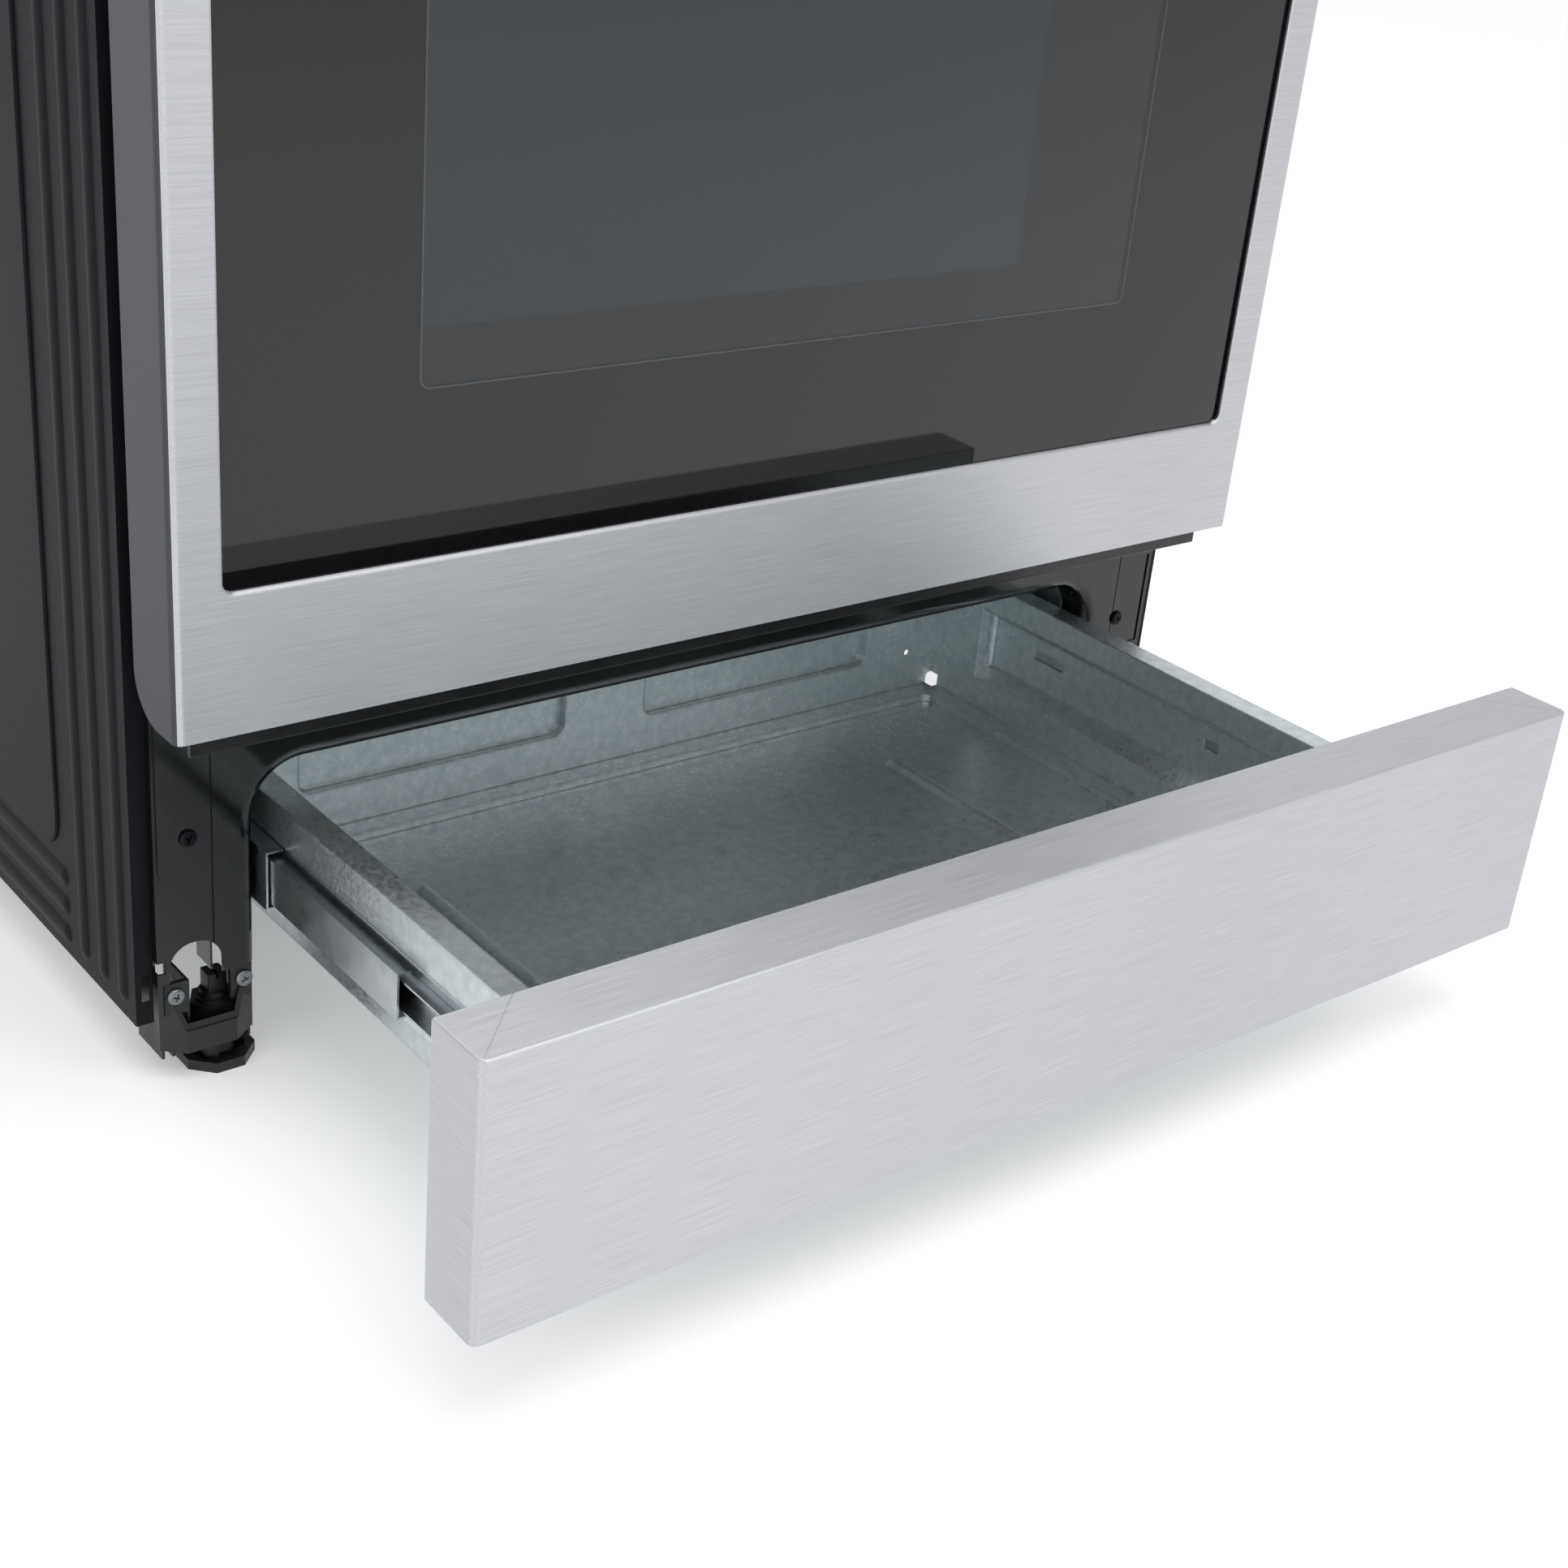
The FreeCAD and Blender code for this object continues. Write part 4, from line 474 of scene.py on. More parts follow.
# Legs and brackets: eroded black.  Trim and dial marks: smooth black.  Modules: mid grey.
PLASTIC = Moulded("black_moulded_polyamide", "#131415", 0.38)
TRIM_PLASTIC = Moulded("black_smooth_moulded_trim", "#0e0f10", 0.3, grit=Noise(0.6), depth=0.01)
MODULE = Moulded("grey_moulded_housing", "#4b4e52", 0.45)
# Grates: sand grains under matt black.  Electrodes: waxy white.
IRON = Coat("matt_enamelled_cast_iron", "#141415", 0.5, (), Noise(1.4, 3.0), (0.0, 0.15), grit=Noise(1.4, 3.0),
            depth=0.12, strength=0.8)
CERAMIC = Coat("white_glazed_alumina", "#e6e1d4", 0.2, (("Subsurface Weight", 0.15),), grit=Noise(2.0),
               strength=0.5)
# Insulation: loose yellow wool.  Door seal: a grey braid.
WOOL = FibreGlass("glass_wool_blanket", "#d6c68c", 0.95)
BRAID = FibreGlass("braided_glass_fibre_seal", "#8e8f8a", 0.85, shade="#5b5c59", thread=1.2, depth=0.2)
# Door: black border round a smoky window.  Inner pane: a cool mirror.  Lamp: clear.  Display: glossy black.
DOOR_GLASS = PrintedGlass("tinted_door_glass_black_print", "#060607", 0.025)
CLEAR = (("Transmission Weight", 1.0), ("IOR", 1.47))
INNER_GLASS = Coat("heat_reflecting_coated_glass", "#cfdde2", 0.0, (
    *CLEAR, ("Coat Weight", 1.0), ("Coat Roughness", 0.02), ("Coat IOR", 2.1),
    ("Coat Tint", linear("#dfe9ec"))), grit=Noise(60.0, 1.0), strength=0.3)
LAMP_GLASS = Coat("clear_borosilicate_glass", "#eef4f4", 0.02, CLEAR, grit=Noise(60.0, 1.0), strength=0.3)
DISPLAY_GLASS = GlossEnamel("black_printed_display_glass", "#060608", 0.03, grit=Noise(90.0, 1.0, 0.4),
                            depth=0.01)


# ---- Repeated and swept shapes ----
class Pattern:
    """A Geometry Nodes tree that repeats or sweeps a shape, run once into a plain mesh."""

    def __init__(self, name: str, sizes: Mapping[str, float | int | Point]) -> None:
        """Starts the tree with its named inputs.

        Args:
            name: The tree's name.
            sizes: Each input's label and default value.
        """
        self.tree = bpy.data.node_groups.new(name, "GeometryNodeTree")
        sides = self.tree.interface
        sides.new_socket("Geometry", in_out="INPUT", socket_type="NodeSocketGeometry")
        sides.new_socket("Geometry", in_out="OUTPUT", socket_type="NodeSocketGeometry")
        for label, value in sizes.items():
            kind = {int: "NodeSocketInt", float: "NodeSocketFloat", tuple: "NodeSocketVector"}[type(value)]
            sides.new_socket(label, in_out="INPUT", socket_type=kind).default_value = value
        self.given = put(self.tree, "NodeGroupInput").outputs

    def copies(self, template: Object, finish: Finish, where: Mapping[str, NodeSocket]) -> "Pattern":
        """Closes the tree with a copy of a shape on each point.

        Args:
            template: The shape.
            finish: Its finish.
            where: The points, and the copies' rotation and scale if they have one.

        Returns:
            The pattern itself.
        """
        shape = put(self.tree, "GeometryNodeObjectInfo", None, {"Object": template}).outputs["Geometry"]
        made = put(self.tree, "GeometryNodeInstanceOnPoints", None, {**where, "Instance": shape})
        return self.end(made.outputs[0], finish)

    def end(self, geometry: NodeSocket, finish: Finish) -> "Pattern":
        """Closes the tree.

        Args:
            geometry: What it has made.
            finish: The finish that it gets.

        Returns:
            The pattern itself.
        """
        real = put(self.tree, "GeometryNodeRealizeInstances", None, {"Geometry": geometry}).outputs[0]
        dressed = put(self.tree, "GeometryNodeSetMaterial", None, {
            "Geometry": real, "Material": finish.material()}).outputs[0]
        put(self.tree, "NodeGroupOutput", None, {0: dressed})
        return self

    def run(self, sizes: Mapping[str, float | int | Point], host: Mesh | None = None) -> Mesh:
        """Runs the tree with its sizes.

        Args:
            sizes: The value of each named input.
            host: The mesh that the tree starts from, if it needs one.

        Returns:
            The result as a plain mesh.
        """
        base = linked("host", host or bpy.data.meshes.new("host"))
        modifier = base.modifiers.new("pattern", "NODES")
        modifier.node_group = self.tree
        labels = {item.name: item.identifier for item in self.tree.interface.items_tree
                  if item.item_type == "SOCKET" and item.in_out == "INPUT"}
        for label, value in sizes.items():
            modifier[labels[label]] = value
        return plain(base)


def linked(name: str, data: bpy.types.ID) -> Object:
    """A new object in the scene.

    Args:
        name: Its name.
        data: Its mesh, light or camera.

    Returns:
        The object.
    """
    found = bpy.data.objects.new(name, data)
    bpy.context.scene.collection.objects.link(found)
    return found


def plain(base: Object) -> Mesh:
    """Turns an object with modifiers into a plain mesh and removes the object.

    Args:
        base: The object.

    Returns:
        Its evaluated mesh.
    """
    graph = bpy.context.evaluated_depsgraph_get()
    made = bpy.data.meshes.new_from_object(base.evaluated_get(graph), preserve_all_data_layers=True,
                                           depsgraph=graph)
    base.modifiers.clear()
    bpy.data.objects.remove(base)
    return made


def scattered(template: Object, finish: Finish) -> Pattern:
    """A shape on each point of the host, its Z along the point's heading and turned at random about it.

    Args:
        template: The shape, on the origin.
        finish: Its finish.

    Returns:
        The pattern, with the inputs Size, Turn and Seed.
    """
    pattern = Pattern("scattered_" + template.name, {"Size": 1.0, "Turn": 1.0, "Seed": 7})
    tree, given = pattern.tree, pattern.given
    heading = put(tree, "GeometryNodeInputNamedAttribute", {"data_type": "FLOAT_VECTOR"}, {"Name": "heading"})
    aligned = put(tree, "FunctionNodeAlignRotationToVector", {"axis": "Z"}, {"Vector": heading.outputs[0]})
    chance = put(tree, "FunctionNodeRandomValue", {"data_type": "FLOAT"}, {
        2: 0.0, 3: given["Turn"], "Seed": given["Seed"]}).outputs[1]
    twist = put(tree, "FunctionNodeAxisAngleToRotation", None, {"Axis": (0, 0, 1), "Angle": chance})
    turned = put(tree, "FunctionNodeRotateRotation", {"rotation_space": "LOCAL"}, {
        0: aligned.outputs[0], 1: twist.outputs[0]})
    return pattern.copies(template, finish, {
        "Points": given["Geometry"], "Rotation": turned.outputs[0], "Scale": given["Size"]})


def in_row(template: Object, finish: Finish) -> Pattern:
    """A shape repeated along a straight line.

    Args:
        template: The shape, on the origin.
        finish: Its finish.

    Returns:
        The pattern, with the inputs Count, First and Step.
    """
    pattern = Pattern("row_of_" + template.name, {
        "Count": 2, "First": (0.0, 0.0, 0.0), "Step": (0.01, 0.0, 0.0)})
    tree, given = pattern.tree, pattern.given
    line = put(tree, "GeometryNodeMeshLine", {"mode": "OFFSET"}, {
        "Count": given["Count"], "Start Location": given["First"], "Offset": given["Step"]})
    return pattern.copies(template, finish, {"Points": line.outputs[0]})


def on_arc(template: Object, finish: Finish) -> Pattern:
    """A shape repeated round the Z axis, its X pointing outwards.

    Args:
        template: The shape, on the origin.
        finish: Its finish.

    Returns:
        The pattern, with the inputs Count, Radius, Start and Pitch, the angle between neighbours.
    """
    pattern = Pattern("arc_of_" + template.name, {"Count": 2, "Radius": 0.01, "Start": 0.0, "Pitch": 0.1})
    tree, given = pattern.tree, pattern.given
    line = put(tree, "GeometryNodeMeshLine", {"mode": "OFFSET"}, {"Count": given["Count"]})
    index = put(tree, "GeometryNodeInputIndex").outputs[0]
    angle = put(tree, "ShaderNodeMath", {"operation": "MULTIPLY_ADD"}, {
        0: index, 1: given["Pitch"], 2: given["Start"]}).outputs[0]
    ways = [put(tree, "ShaderNodeMath", {"operation": way}, {0: angle}).outputs[0]
            for way in ("COSINE", "SINE")]
    reach = [put(tree, "ShaderNodeMath", {"operation": "MULTIPLY"}, {0: way, 1: given["Radius"]}).outputs[0]
             for way in ways]
    spot = put(tree, "ShaderNodeCombineXYZ", None, {0: reach[0], 1: reach[1]}).outputs[0]
    ring = put(tree, "GeometryNodeSetPosition", None, {"Geometry": line.outputs[0], "Position": spot})
    turn = put(tree, "FunctionNodeAxisAngleToRotation", None, {"Axis": (0, 0, 1), "Angle": angle})
    return pattern.copies(template, finish, {"Points": ring.outputs[0], "Rotation": turn.outputs[0]})


def wires(finish: Finish) -> Pattern:
    """Round wire along the host's edges, with its corners bent.

    Args:
        finish: The wire's finish.

    Returns:
        The pattern, with the inputs Radius, Bend and Sides.
    """
    pattern = Pattern("wires_" + finish.name, {"Radius": 0.002, "Bend": 0.01, "Sides": 12})
    tree, given = pattern.tree, pattern.given
    line = put(tree, "GeometryNodeMeshToCurve", None, {"Mesh": given["Geometry"]})
    bent = put(tree, "GeometryNodeFilletCurve", {"mode": "POLY"}, {
        "Curve": line.outputs[0], "Radius": given["Bend"], "Count": 7, "Limit Radius": True})
    round_section = put(tree, "GeometryNodeCurvePrimitiveCircle", None, {
        "Resolution": given["Sides"], "Radius": given["Radius"]})
    swept = put(tree, "GeometryNodeCurveToMesh", None, {
        "Curve": bent.outputs[0], "Profile Curve": round_section.outputs[0], "Fill Caps": True})
    smooth = put(tree, "GeometryNodeSetShadeSmooth", None, {"Geometry": swept.outputs[0]})
    return pattern.end(smooth.outputs[0], finish)


# ---- Mesh tools ----
def mesh_of(name: str, build: Callable[[BMesh], None], smooth: float | None = 35.0) -> Mesh:
    """Makes a mesh in bmesh code.

    Args:
        name: The mesh's name.
        build: The code that fills it, in metres.
        smooth: The angle in degrees up to which faces shade as one, or None for flat faces.

    Returns:
        The mesh.
    """
    shape = bmesh.new()
    build(shape)
    bmesh.ops.recalc_face_normals(shape, faces=shape.faces)
    if smooth is not None:
        for face in shape.faces:
            face.smooth = True
        for edge in shape.edges:
            edge.smooth = edge.is_manifold and edge.calc_face_angle(0.0) < math.radians(smooth)
    made = bpy.data.meshes.new(name)
    shape.to_mesh(made)
    shape.free()
    return made


def template_of(name: str, made: Mesh) -> Object:
    """An object that only patterns use.

    Args:
        name: Its name.
        made: Its mesh.

    Returns:
        The object, which forget_templates() removes.
    """
    found = linked(name, made)
    found["template"] = True
    return found


def forget_templates() -> None:
    """Removes the shapes that only patterns used."""
    for found in [o for o in bpy.data.objects if o.get("template")]:
        bpy.data.objects.remove(found)


def lathe(shape: BMesh, profile: Sequence[Span], steps: int) -> None:
    """Turns a closed profile about the Z axis.

    Args:
        shape: The mesh that gets it.
        profile: Radius and height of each point in millimetres, from the axis back to the axis.
        steps: How many facets it has.
    """
    rings: list[list[bmesh.types.BMVert]] = []
    for radius, height in profile:
        count = 1 if radius < 1e-6 else steps
        rings.append([shape.verts.new(Vector((radius * math.cos(a), radius * math.sin(a), height)) * MM)
                      for a in (2 * math.pi * k / steps for k in range(count))])
    for low, high in zip(rings, rings[1:]):
        for k in range(steps):
            around = ((low, k), (low, k + 1), (high, k + 1), (high, k))
            shape.faces.new(list(dict.fromkeys(ring[step % len(ring)] for ring, step in around)))


def box(shape: BMesh, x: Span, y: Span, z: Span,
        bevel: float = 0.0, steps: int = 2) -> None:
    """Adds a box with softened edges, about the mesh's own origin.

    Args:
        shape: The mesh that gets it.
        x: Its low and high X in millimetres.
        y: Its low and high Y.
        z: Its low and high Z.
        bevel: The radius of its edges.
        steps: How many facets a softened edge has.
    """
    made = bmesh.ops.create_cube(shape, size=1.0)["verts"]
    middle = Vector(((x[0] + x[1]) / 2, (y[0] + y[1]) / 2, (z[0] + z[1]) / 2)) * MM
    extent = Vector((x[1] - x[0], y[1] - y[0], z[1] - z[0])) * MM
    for vert in made:
        vert.co = middle + Vector(a * b for a, b in zip(vert.co, extent))
    if bevel:
        edges = list({edge for vert in made for edge in vert.link_edges})
        bmesh.ops.bevel(shape, geom=edges, offset=bevel * MM, segments=steps, profile=0.5, affect="EDGES",
                        clamp_overlap=True)


def lines(name: str, runs: Iterable[Sequence[Vector]]) -> Mesh:
    """A mesh of edges only, for wires to follow.

    Args:
        name: The mesh's name.
        runs: The points of each run, in metres.

    Returns:
        The mesh.
    """
    points: list[Vector] = []
    edges: list[tuple[int, int]] = []
    for run in runs:
        first = len(points)
        points += list(run)
        edges += [(k, k + 1) for k in range(first, len(points) - 1)]
    made = bpy.data.meshes.new(name)
    made.from_pydata(points, edges, [])
    return made


def merged(node: Object) -> BMesh:
    """A copy of a node's loose triangles, joined.

    Args:
        node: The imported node's object.

    Returns:
        The joined copy.
    """
    shape = bmesh.new()
    shape.from_mesh(node.data)
    bmesh.ops.remove_doubles(shape, verts=shape.verts, dist=2e-6)
    return shape


def islands(shape: BMesh) -> list[list[Vector]]:
    """The separate solids of a mesh.

    Args:
        shape: The mesh.

    Returns:
        The points of each solid.
    """
    seen: set[int] = set()
    found: list[list[Vector]] = []
    for start in shape.verts:
        if start.index in seen:
            continue
        stack, points = [start], []
        seen.add(start.index)
        while stack:
            vert = stack.pop()
            points.append(vert.co.copy())
            for edge in vert.link_edges:
                other = edge.other_vert(vert)
                if other.index not in seen:
                    seen.add(other.index)
                    stack.append(other)
        found.append(points)
    return found


# ---- Pieces ----
class Range:
    """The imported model, and what is done with its nodes."""

    def __init__(self, frame: Mapping[str, Any]) -> None:
        """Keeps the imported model's nodes and bodies.
        """
        self.nodes: dict[str, Object] = frame["nodes"]
        self.body_of: dict[str, str] = {
            node: body for body, members in frame["record"]["behaviour"]["bodies"].items() for node in members}

    def dress(self, finish: Finish, *names: str) -> None:
        """Gives carried-over nodes their finish.

        Args:
            finish: The finish.
            *names: The nodes.
        """
        for name in names:
            node = self.nodes[name]
            if not node.material_slots:
                node.data.materials.append(None)
            for place in node.material_slots:
                place.material = finish.material()
            log.info("%s: %s", name, finish.name)

    def add(self, name: str, made: Mesh, node: str, finish: Finish | None = None,
            replaces: bool = True) -> None:
        """Makes a finished mesh a piece that rides with a node's body.

        Args:
            name: The piece's name.
            made: Its mesh, in place.
            node: The node whose body carries it.
            finish: Its finish, if the mesh has none yet.
            replaces: Whether it stands for that node.
        """
        found = linked(name, made)
        made.name = name
        if finish is not None:
            made.materials.clear()
            made.materials.append(finish.material())
        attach(found, self.body_of[node])
        if replaces:
            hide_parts(node)
        log.info("%s: %d faces on %s", name, len(made.polygons), self.body_of[node])

    def soften(self, node: str, finish: Finish, width: float, name: str) -> None:
        """Puts a copy with rounded edges in a node's place.

        Args:
            node: The node.
            finish: Its finish.
            width: The radius of the edges in millimetres.
            name: The new piece's name.
        """
        shape = merged(self.nodes[node])
        bmesh.ops.dissolve_limit(shape, angle_limit=math.radians(0.5), verts=shape.verts, edges=shape.edges)
        for face in shape.faces:
            face.smooth = True
        made = bpy.data.meshes.new(name)
        shape.to_mesh(made)
        shape.free()
        base = linked(name, made)
        bevel = base.modifiers.new("edges", "BEVEL")
        bevel.width, bevel.segments, bevel.angle_limit = width * MM, 2, math.radians(40)
        bevel.use_clamp_overlap = True
        bevel.harden_normals = True
        self.add(name, plain(base), node, finish)


class Assembly(ABC):
    """A part of the range that is dressed and detailed on its own."""

    @abstractmethod
    def build(self, model: Range) -> None:
        """Dresses its nodes and adds its pieces.

        Args:
            model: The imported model.
        """


@dataclass
class Fasteners(Assembly):
    """Cross-recessed pan-head screws."""

    head: float = 5.1          # radius of the head
    height: float = 2.55
    lip: float = 0.3           # height of the head's square edge
    rim: float = 0.5           # height at which the crown begins
    crown: float = 0.38        # share of the head's radius that the crown curves over
    crown_steps: int = 6
    shank: float = 2.0
    length: float = 7.0
    tip: float = 1.2           # length of the shank's cone
    recess: float = 2.6        # half the cross's length
    recess_depth: float = 1.5
    recess_taper: float = 0.45
    slot_width: float = 1.0
    seat: float = 2.6          # from the top of a packed screw down to its seat
    facets: int = 24

    def template(self) -> Object:
        """One screw on the origin, its head standing along Z.

        Returns:
            The screw.
        """
        profile = [(0.0, -self.length), (self.shank * 0.6, -self.length), (self.shank, self.tip - self.length),
                   (self.shank, 0.0), (self.head - 0.2, 0.0), (self.head, self.lip)]
        for step in range(1, self.crown_steps + 1):
            angle = step / self.crown_steps * math.pi / 2
            profile.append((self.head * (1 - self.crown) + self.head * self.crown * math.cos(angle),
                            self.rim + (self.height - self.rim) * math.sin(angle)))
        profile.append((0.0, self.height))
        solid = linked("pan_head", mesh_of("pan_head", lambda shape: lathe(shape, profile, self.facets), 50))

        def cross(shape: BMesh) -> None:
            """Two crossed wedges."""
            half, top, low = self.slot_width / 2, self.height + 0.2, self.height - self.recess_depth
            box(shape, (-self.recess, self.recess), (-half, half), (low, top))
            box(shape, (-half, half), (-self.recess, self.recess), (low - 0.01, top + 0.01))
            for vert in shape.verts:
                if vert.co.z < self.height * MM:
                    vert.co.x *= self.recess_taper
                    vert.co.y *= self.recess_taper

        cutter = template_of("cross_recess", mesh_of("cross_recess", cross, None))
        cut = solid.modifiers.new("recess", "BOOLEAN")
        cut.object, cut.solver, cut.use_self = cutter, "EXACT", True
        return template_of("pan_screw", plain(solid))

    def on_post(self, seat: Vector) -> bool:
        """Whether a screw sits in a front post, 100 to 200 mm up.

        Args:
            seat: Where it sits, in metres.

        Returns:
            True for the post's screws.
        """
        return 0.1 < seat.z < 0.2 and seat.y < 0

    def build(self, model: Range) -> None:
        """Puts a screw in the place of each packed one."""
        template = self.template()
        outside = (self.shank + 1.0) * MM  # farther than this from the axis is the head
        kinds: tuple[tuple[str, str, Finish, Callable[[Vector], bool]], ...] = (
            ("post_screws", "body_screws", SCREW_BLACK, self.on_post),
            ("case_screws", "body_screws", SCREW_ZINC, lambda p: not self.on_post(p)),
            ("drawer_front_screws", "drawer_screws", ZINC, lambda p: True),
            ("door_liner_screws", "door_screws", ZINC, lambda p: True))
        for name, node, finish, chosen in kinds:
            shape = merged(model.nodes[node])
            shape.verts.index_update()
            host = bpy.data.meshes.new(name + "_host")
            seats, headings = [], []
            for points in islands(shape):
                low = Vector(map(min, zip(*points)))
                high = Vector(map(max, zip(*points)))
                middle = (low + high) / 2
                rim = [p.y for p in points if math.hypot(p.x - middle.x, p.z - middle.z) > outside]
                way = 1.0 if sum(rim) / len(rim) > middle.y else -1.0
                end = high.y if way > 0 else low.y
                seat = Vector((middle.x, end - way * self.seat * MM, middle.z))
                if chosen(seat):
                    seats.append(seat)
                    headings.append((0.0, way, 0.0))
            shape.free()
            host.from_pydata(seats, [], [])
            heading = host.attributes.new("heading", "FLOAT_VECTOR", "POINT")
            heading.data.foreach_set("vector", [c for h in headings for c in h])
            made = scattered(template, finish).run({"Size": 1.0, "Turn": math.pi / 2, "Seed": 11}, host)
            model.add(name, made, node)


@dataclass
class OuterCase(Assembly):
    """Side panels, back panel, flue trim and the base they stand on."""

    def build(self, model: Range) -> None:
        """Dresses the case."""
        model.dress(SIDE_COAT, "side_panel_left", "side_panel_right")
        model.dress(PLAIN_ZINC, "back_panel", "base_chassis")
        model.dress(STEEL, "rear_vent_trim")
        model.dress(ENAMEL, "base_front_frame", "oven_front_frame")
        model.dress(PLASTIC, "leg_brackets")
        model.dress(PLASTIC, *(f"leg_{end}_{side}" for end in ("front", "rear") for side in ("left", "right")))


@dataclass
class Oven(Assembly):
    """The enamelled oven with its racks, burners, lamp and seal."""

    rack_edge: float = 3.0
    rack_wire: float = 2.0
    rack_half: float = 295.0
    rack_front: float = 26.0
    rack_rear: float = 476.0
    slats: int = 17
    bend: float = 14.0         # radius of the frame's corners
    cross_inset: float = 8.0   # from the frame's rear to the rear cross bar
    levels: dict[str, float] = field(default_factory=lambda: {"rack_lower": 345.0, "rack_upper": 525.0})

    def build(self, model: Range) -> None:
        """Dresses the oven and bends its racks."""
        model.dress(OVEN_ENAMEL, "oven_liner", "oven_floor")
        model.dress(WOOL, "insulation")
        model.dress(BRAID, "door_gasket")
        model.dress(TUBE, "oven_burners")
        model.dress(LAMP_GLASS, "oven_lamp")
        model.dress(ZINC, "hinge_arms")
        wire = wires(CHROME)
        for name, level in self.levels.items():
            self.rack(model, wire, name, level)

    def rack(self, model: Range, wire: Pattern, name: str, level: float) -> None:
        """One wire rack: a bent frame with two cross bars under its slats.

        Args:
            model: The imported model.
            wire: The pattern of round wires.
            name: The rack's node.
            level: The height of the ledges that it lies on.
        """
        half, z = self.rack_half, level + self.rack_edge + 0.1
        front, rear = self.rack_front, self.rack_rear
        corners = [(-half, rear), (-half, front), (half, front), (half, rear)]
        heavy = [[at(x, y, z) for x, y in corners]]
        heavy += [[at(-half, y, z + 0.1), at(half, y, z + 0.1)]
                  for y in (rear - self.cross_inset, (front + rear) / 2)]
        pitch = 2 * half / (self.slats + 1)
        slats = [[at(x, front + 0.4, z + 1.3), at(x, rear - 4, z + 1.3)]
                 for x in (-half + pitch * step for step in range(1, self.slats + 1))]
        for label, runs, radius in (("frame", heavy, self.rack_edge), ("slats", slats, self.rack_wire)):
            made = wire.run({"Radius": radius * MM, "Bend": self.bend * MM, "Sides": 14}, lines(name, runs))
            model.add(f"{name}_{label}", made, name)


@dataclass
class OvenDoor(Assembly):
    """Stainless door with its glasses, liner, trim, handle and hinge channels."""

    def build(self, model: Range) -> None:
        """Dresses the door."""
        model.dress(DOOR_STEEL, "door_skin")
        model.dress(STEEL, "door_handle")
        model.dress(DOOR_GLASS, "door_outer_glass")
        model.dress(INNER_GLASS, "door_inner_glass")
        model.dress(OVEN_ENAMEL, "door_liner")
        model.dress(TRIM_PLASTIC, "door_bottom_trim")
        model.dress(ZINC, "hinge_channels")


@dataclass
class StorageDrawer(Assembly):
    """Storage drawer: stainless front, pressed box, and the ball slides under its rims."""

    ball: float = 1.35
    ball_pitch: float = 12.5
    balls: int = 15
    race_x: float = 304.5
    outer_races: Span = (130.8, 101.2)
    inner_races: Span = (126.6, 105.4)
    outer_start: float = 20.0
    inner_start: float = -130.0

    def build(self, model: Range) -> None:
        """Dresses the drawer and fills its slides with balls."""
        model.dress(STEEL, "drawer_front")
        model.dress(PLAIN_ZINC, "drawer_backer")
        model.dress(GALVANISED, "drawer_box")
        model.dress(ZINC, "slide_outer_members", "slide_middle_left", "slide_middle_right",
                    "slide_inner_members")
        ball = template_of("ball", mesh_of("ball", self.one_ball, 180))
        row = in_row(ball, CHROME)
        for side, way in (("left", -1), ("right", 1)):
            for label, heights, start in (("outer", self.outer_races, self.outer_start),
                                          ("inner", self.inner_races, self.inner_start)):
                for level, z in zip(("upper", "lower"), heights):
                    made = row.run({"Count": self.balls, "First": tuple(at(way * self.race_x, start, z)),
                                    "Step": (0.0, self.ball_pitch * MM, 0.0)})
                    model.add(f"slide_{side}_{label}_{level}_balls", made, "slide_middle_" + side,
                              replaces=False)

    def one_ball(self, shape: BMesh) -> None:
        """A bearing ball on the origin."""
        bmesh.ops.create_icosphere(shape, subdivisions=2, radius=self.ball * MM)


@dataclass
class Cooktop(Assembly):
    """Enamelled cooktop with its burners and grates."""

    bar_edge: float = 1.6      # radius on the grates' cast edges

    def build(self, model: Range) -> None:
        """Dresses the cooktop and rounds the grates' bars."""
        model.dress(COOKTOP_ENAMEL, "cooktop_panel")
        model.dress(ALUMINIUM, "burner_heads")
        model.dress(CAP_ENAMEL, "burner_caps")
        model.dress(CERAMIC, "spark_electrodes")
        for side in ("left", "centre", "right"):
            model.soften("grate_" + side, IRON, self.bar_edge, f"cast_grate_{side}")


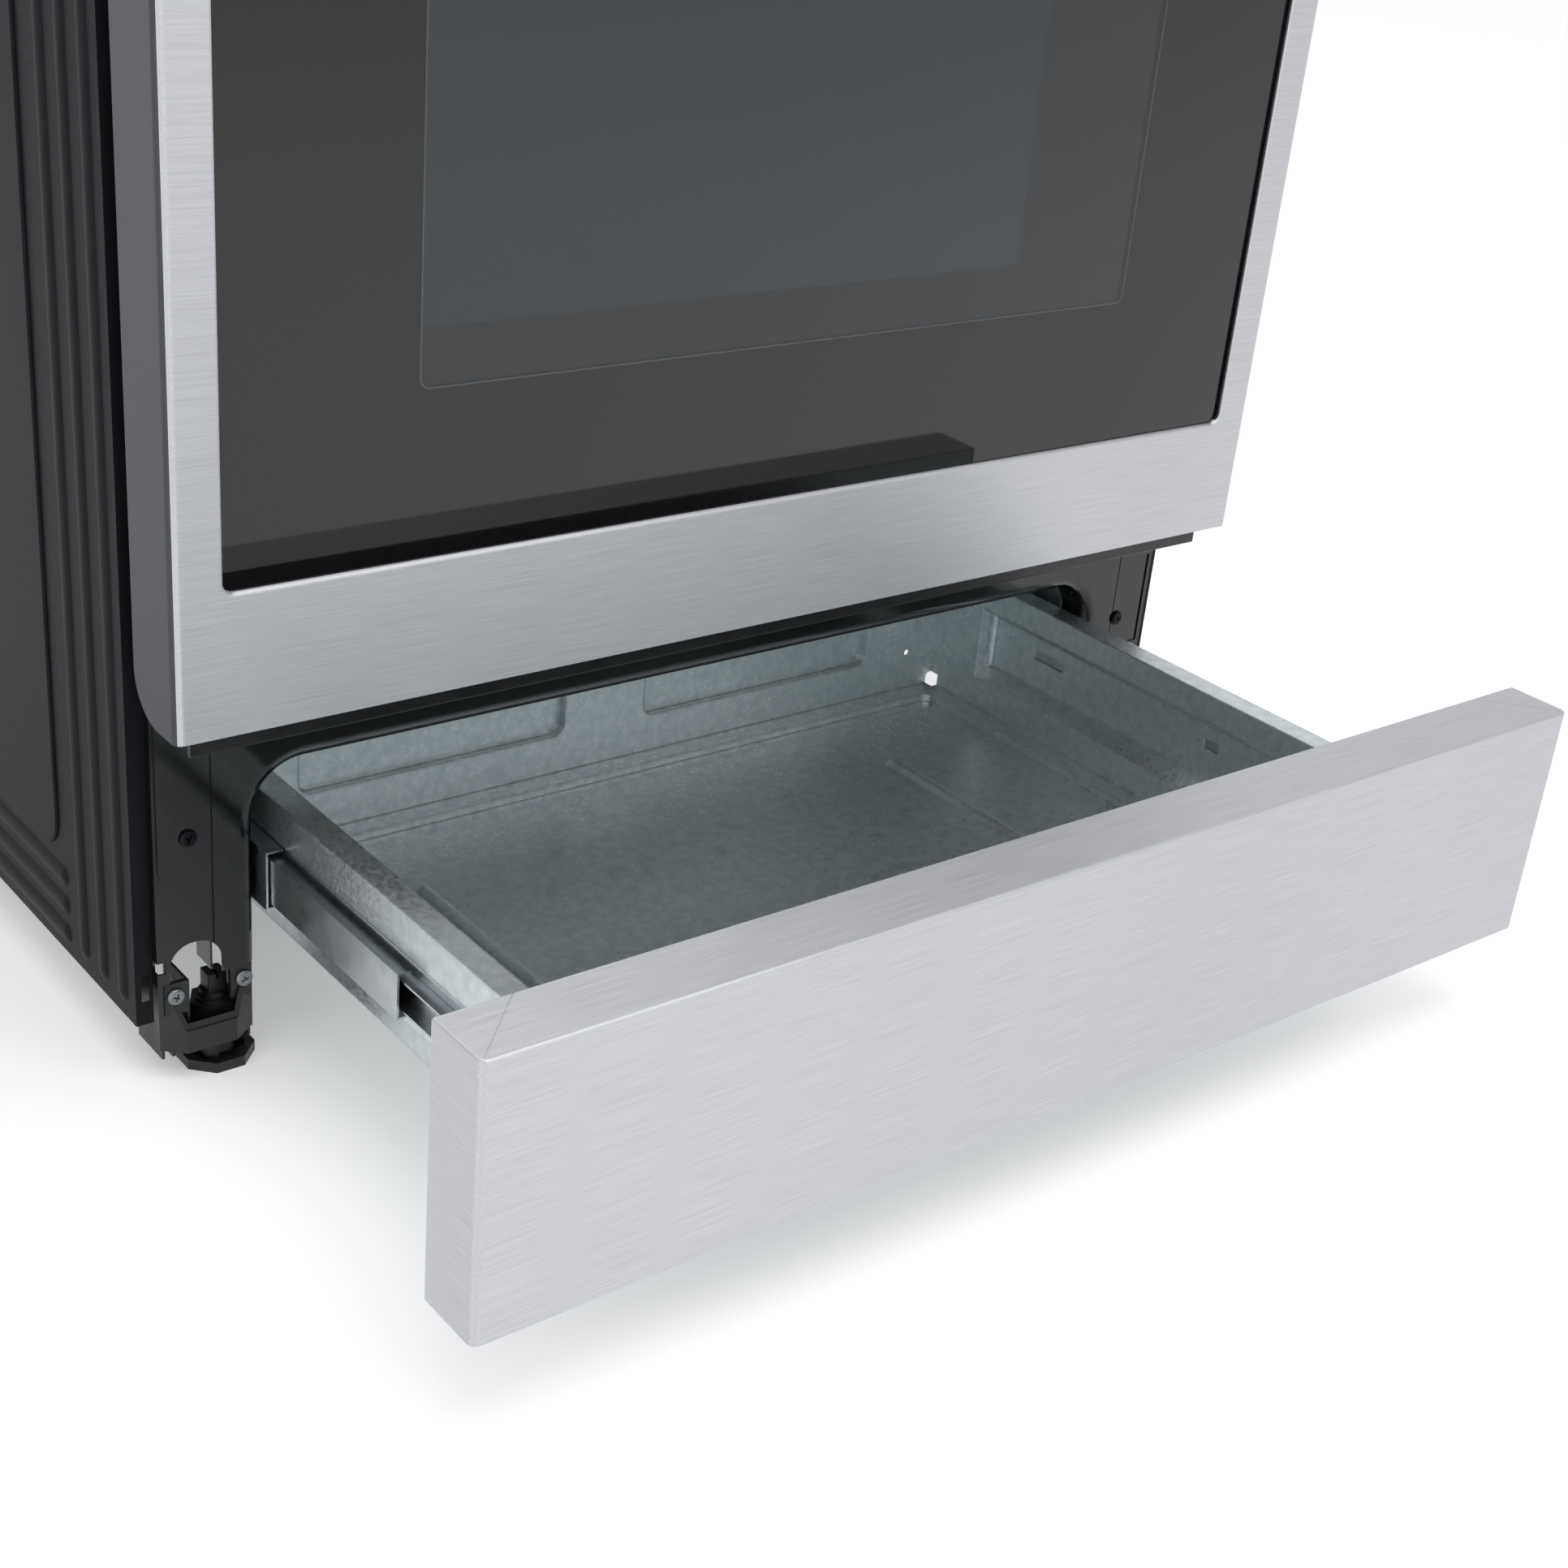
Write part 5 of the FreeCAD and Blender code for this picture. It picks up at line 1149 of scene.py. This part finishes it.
@dataclass
class ControlPanel(Assembly):
    """Stainless control panel with its knobs, display, valves and pipes."""

    bottom: float = 756.0
    top: float = 886.0
    front: float = -52.0
    back: float = -22.0
    knob_along: float = 46.0
    knob_xs: tuple[float, ...] = (-300.0, -200.0, 0.0, 200.0, 300.0)
    grip_radius: float = 19.0
    grip_span: Span = (13.0, 28.0)
    taper: float = 0.1
    flutes: int = 40
    marks: int = 9
    mark_half: Span = (2.2, 0.45)   # half length and half width of a mark
    mark_height: float = 0.06
    mark_radius: float = 31.0
    sweep: float = 240.0

    def placed(self, x: float, along: float) -> Matrix:
        """Where a shape drawn about the origin, outwards along Z, stands on the sloping panel.

        Args:
            x: Millimetres to the right of the middle.
            along: Millimetres up the slope from the lower fold.

        Returns:
            The placement, in metres.
        """
        tilt = math.atan2(self.back - self.front, self.top - self.bottom)
        spot = at(x, self.front + along * math.sin(tilt), self.bottom + along * math.cos(tilt))
        return Matrix.Translation(spot) @ Matrix.Rotation(math.pi / 2 - tilt, 4, "X")

    def flute(self, shape: BMesh) -> None:
        """One raised flute, leaning inwards as the grip tapers."""
        box(shape, (-0.7, 0.55), (-0.55, 0.55), self.grip_span, 0.45)
        middle = sum(self.grip_span) / 2
        for vert in shape.verts:
            vert.co.x -= (vert.co.z - middle * MM) * self.taper

    def build(self, model: Range) -> None:
        """Dresses the panel, flutes the knobs and marks their dials."""
        model.dress(STEEL, "control_fascia")
        model.dress(DISPLAY_GLASS, "display_glass")
        model.dress(MODULE, "electrical_modules")
        model.dress(BRASS, "gas_valves")
        model.dress(TUBE, "gas_supply")
        flute = template_of("flute", mesh_of("flute", self.flute, 40))
        length, width = self.mark_half
        mark = template_of("mark", mesh_of("mark", lambda shape: box(
            shape, (-length, length), (-width, width), (0.0, self.mark_height), 0.02, 1), None))
        ring, arc = on_arc(flute, KNOB_STEEL), on_arc(mark, TRIM_PLASTIC)
        step = math.radians(self.sweep) / (self.marks - 1)
        for number, x in enumerate(self.knob_xs, 1):
            model.dress(ALUMINIUM, f"valve_stem_{number}")
            model.dress(KNOB_STEEL, f"knob_{number}")
            place = self.placed(x, self.knob_along)
            made = ring.run({"Count": self.flutes, "Radius": self.grip_radius * MM, "Start": 0.0,
                             "Pitch": 2 * math.pi / self.flutes})
            made.transform(place)
            model.add(f"knob_{number}_flutes", made, f"knob_{number}", replaces=False)
            made = arc.run({"Count": self.marks, "Radius": self.mark_radius * MM, "Start": math.pi / 2,
                            "Pitch": -step})
            made.transform(place)
            model.add(f"dial_marks_{number}", made, "control_fascia", replaces=False)


# ---- Studio ----
@dataclass
class Studio:
    """Pale floor, soft light all round, and the camera."""

    eye: Point = (-0.8089, -1.1439, 0.7338)
    heading: float = -40.93    # degrees from the front, to the left
    dip: float = 26.30
    roll: float = 5.85
    lens: float = 53.36
    shift: Span = (-0.0092, 0.0082)
    floor_size: float = 60.0
    floor_tone: str = "#e2e2e2"
    floor_glow: float = 0.28   # keeps the shadows on it faint
    sky: float = 0.92          # strength of the light from all sides

    def build(self) -> None:
        """Makes the floor, the light and the camera."""
        self.floor()
        self.light()
        self.camera()

    def floor(self) -> None:
        """A plain pale floor."""
        half = self.floor_size / 2
        made = mesh_of("floor", lambda shape: shape.faces.new([
            shape.verts.new((x * half, y * half, 0.0))
            for x, y in ((-1, -1), (1, -1), (1, 1), (-1, 1))]), None)
        paint = bpy.data.materials.new("pale_studio_floor")
        paint.use_nodes = True
        shader = paint.node_tree.nodes["Principled BSDF"]
        shader.inputs["Base Color"].default_value = linear(self.floor_tone)
        shader.inputs["Roughness"].default_value = 0.95
        shader.inputs["Specular IOR Level"].default_value = 0.1
        shader.inputs["Emission Color"].default_value = linear("#ffffff")
        shader.inputs["Emission Strength"].default_value = self.floor_glow
        made.materials.append(paint)
        found = linked("floor", made)

    def light(self) -> None:
        """Even light from all sides, and softboxes above and to the left."""
        scene = bpy.context.scene
        world = bpy.data.worlds.new("studio")
        world.use_nodes = True
        world.node_tree.nodes["Background"].inputs["Color"].default_value = linear("#fbfcff")
        world.node_tree.nodes["Background"].inputs["Strength"].default_value = self.sky
        scene.world = world
        scene.view_settings.view_transform = "Standard"
        for name, spot, aim, size, power in (
                ("overhead_softbox", (0.2, -1.2, 3.2), (0.0, -0.2, 0.0), (3.6, 3.0), 62.0),
                ("left_softbox", (-3.4, -1.4, 1.8), (0.0, 0.0, 0.4), (1.6, 2.6), 10.0)):
            lamp = bpy.data.lights.new(name, "AREA")
            lamp.shape, lamp.size, lamp.size_y, lamp.energy = "RECTANGLE", *size, power
            found = linked(name, lamp)
            found.location = spot
            found.rotation_euler = (Vector(aim) - Vector(spot)).to_track_quat("-Z", "Y").to_euler()

    def camera(self) -> None:
        """The camera, in front, to the left and above."""
        turn, dip, roll = (math.radians(v) for v in (self.heading, self.dip, self.roll))
        back = Vector((math.sin(turn) * math.cos(dip), -math.cos(turn) * math.cos(dip), math.sin(dip)))
        right = Vector((math.cos(turn), math.sin(turn), 0.0))
        up = back.cross(right)
        tilted = (math.cos(roll) * right + math.sin(roll) * up,
                  math.cos(roll) * up - math.sin(roll) * right, back)
        lens = bpy.data.cameras.new("camera")
        lens.sensor_width, lens.lens, lens.sensor_fit = 36.0, self.lens, "HORIZONTAL"
        lens.shift_x, lens.shift_y = self.shift
        lens.clip_start, lens.clip_end = 0.05, 100.0
        found = linked("camera", lens)
        found.matrix_world = Matrix.Translation(self.eye) @ Matrix(tilted).transposed().to_4x4()
        bpy.context.scene.camera = found


def main() -> None:
    """Builds every sub-assembly's looks in order."""
    logging.basicConfig(level=logging.INFO, format="%(message)s")
    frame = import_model()
    model = Range(frame)
    for assembly in (Fasteners(), OuterCase(), Oven(), OvenDoor(), StorageDrawer(), Cooktop(), ControlPanel()):
        log.info("-- %s", type(assembly).__name__)
        assembly.build(model)
    forget_templates()
    Studio().build()


if __name__ == "__main__":
    main()
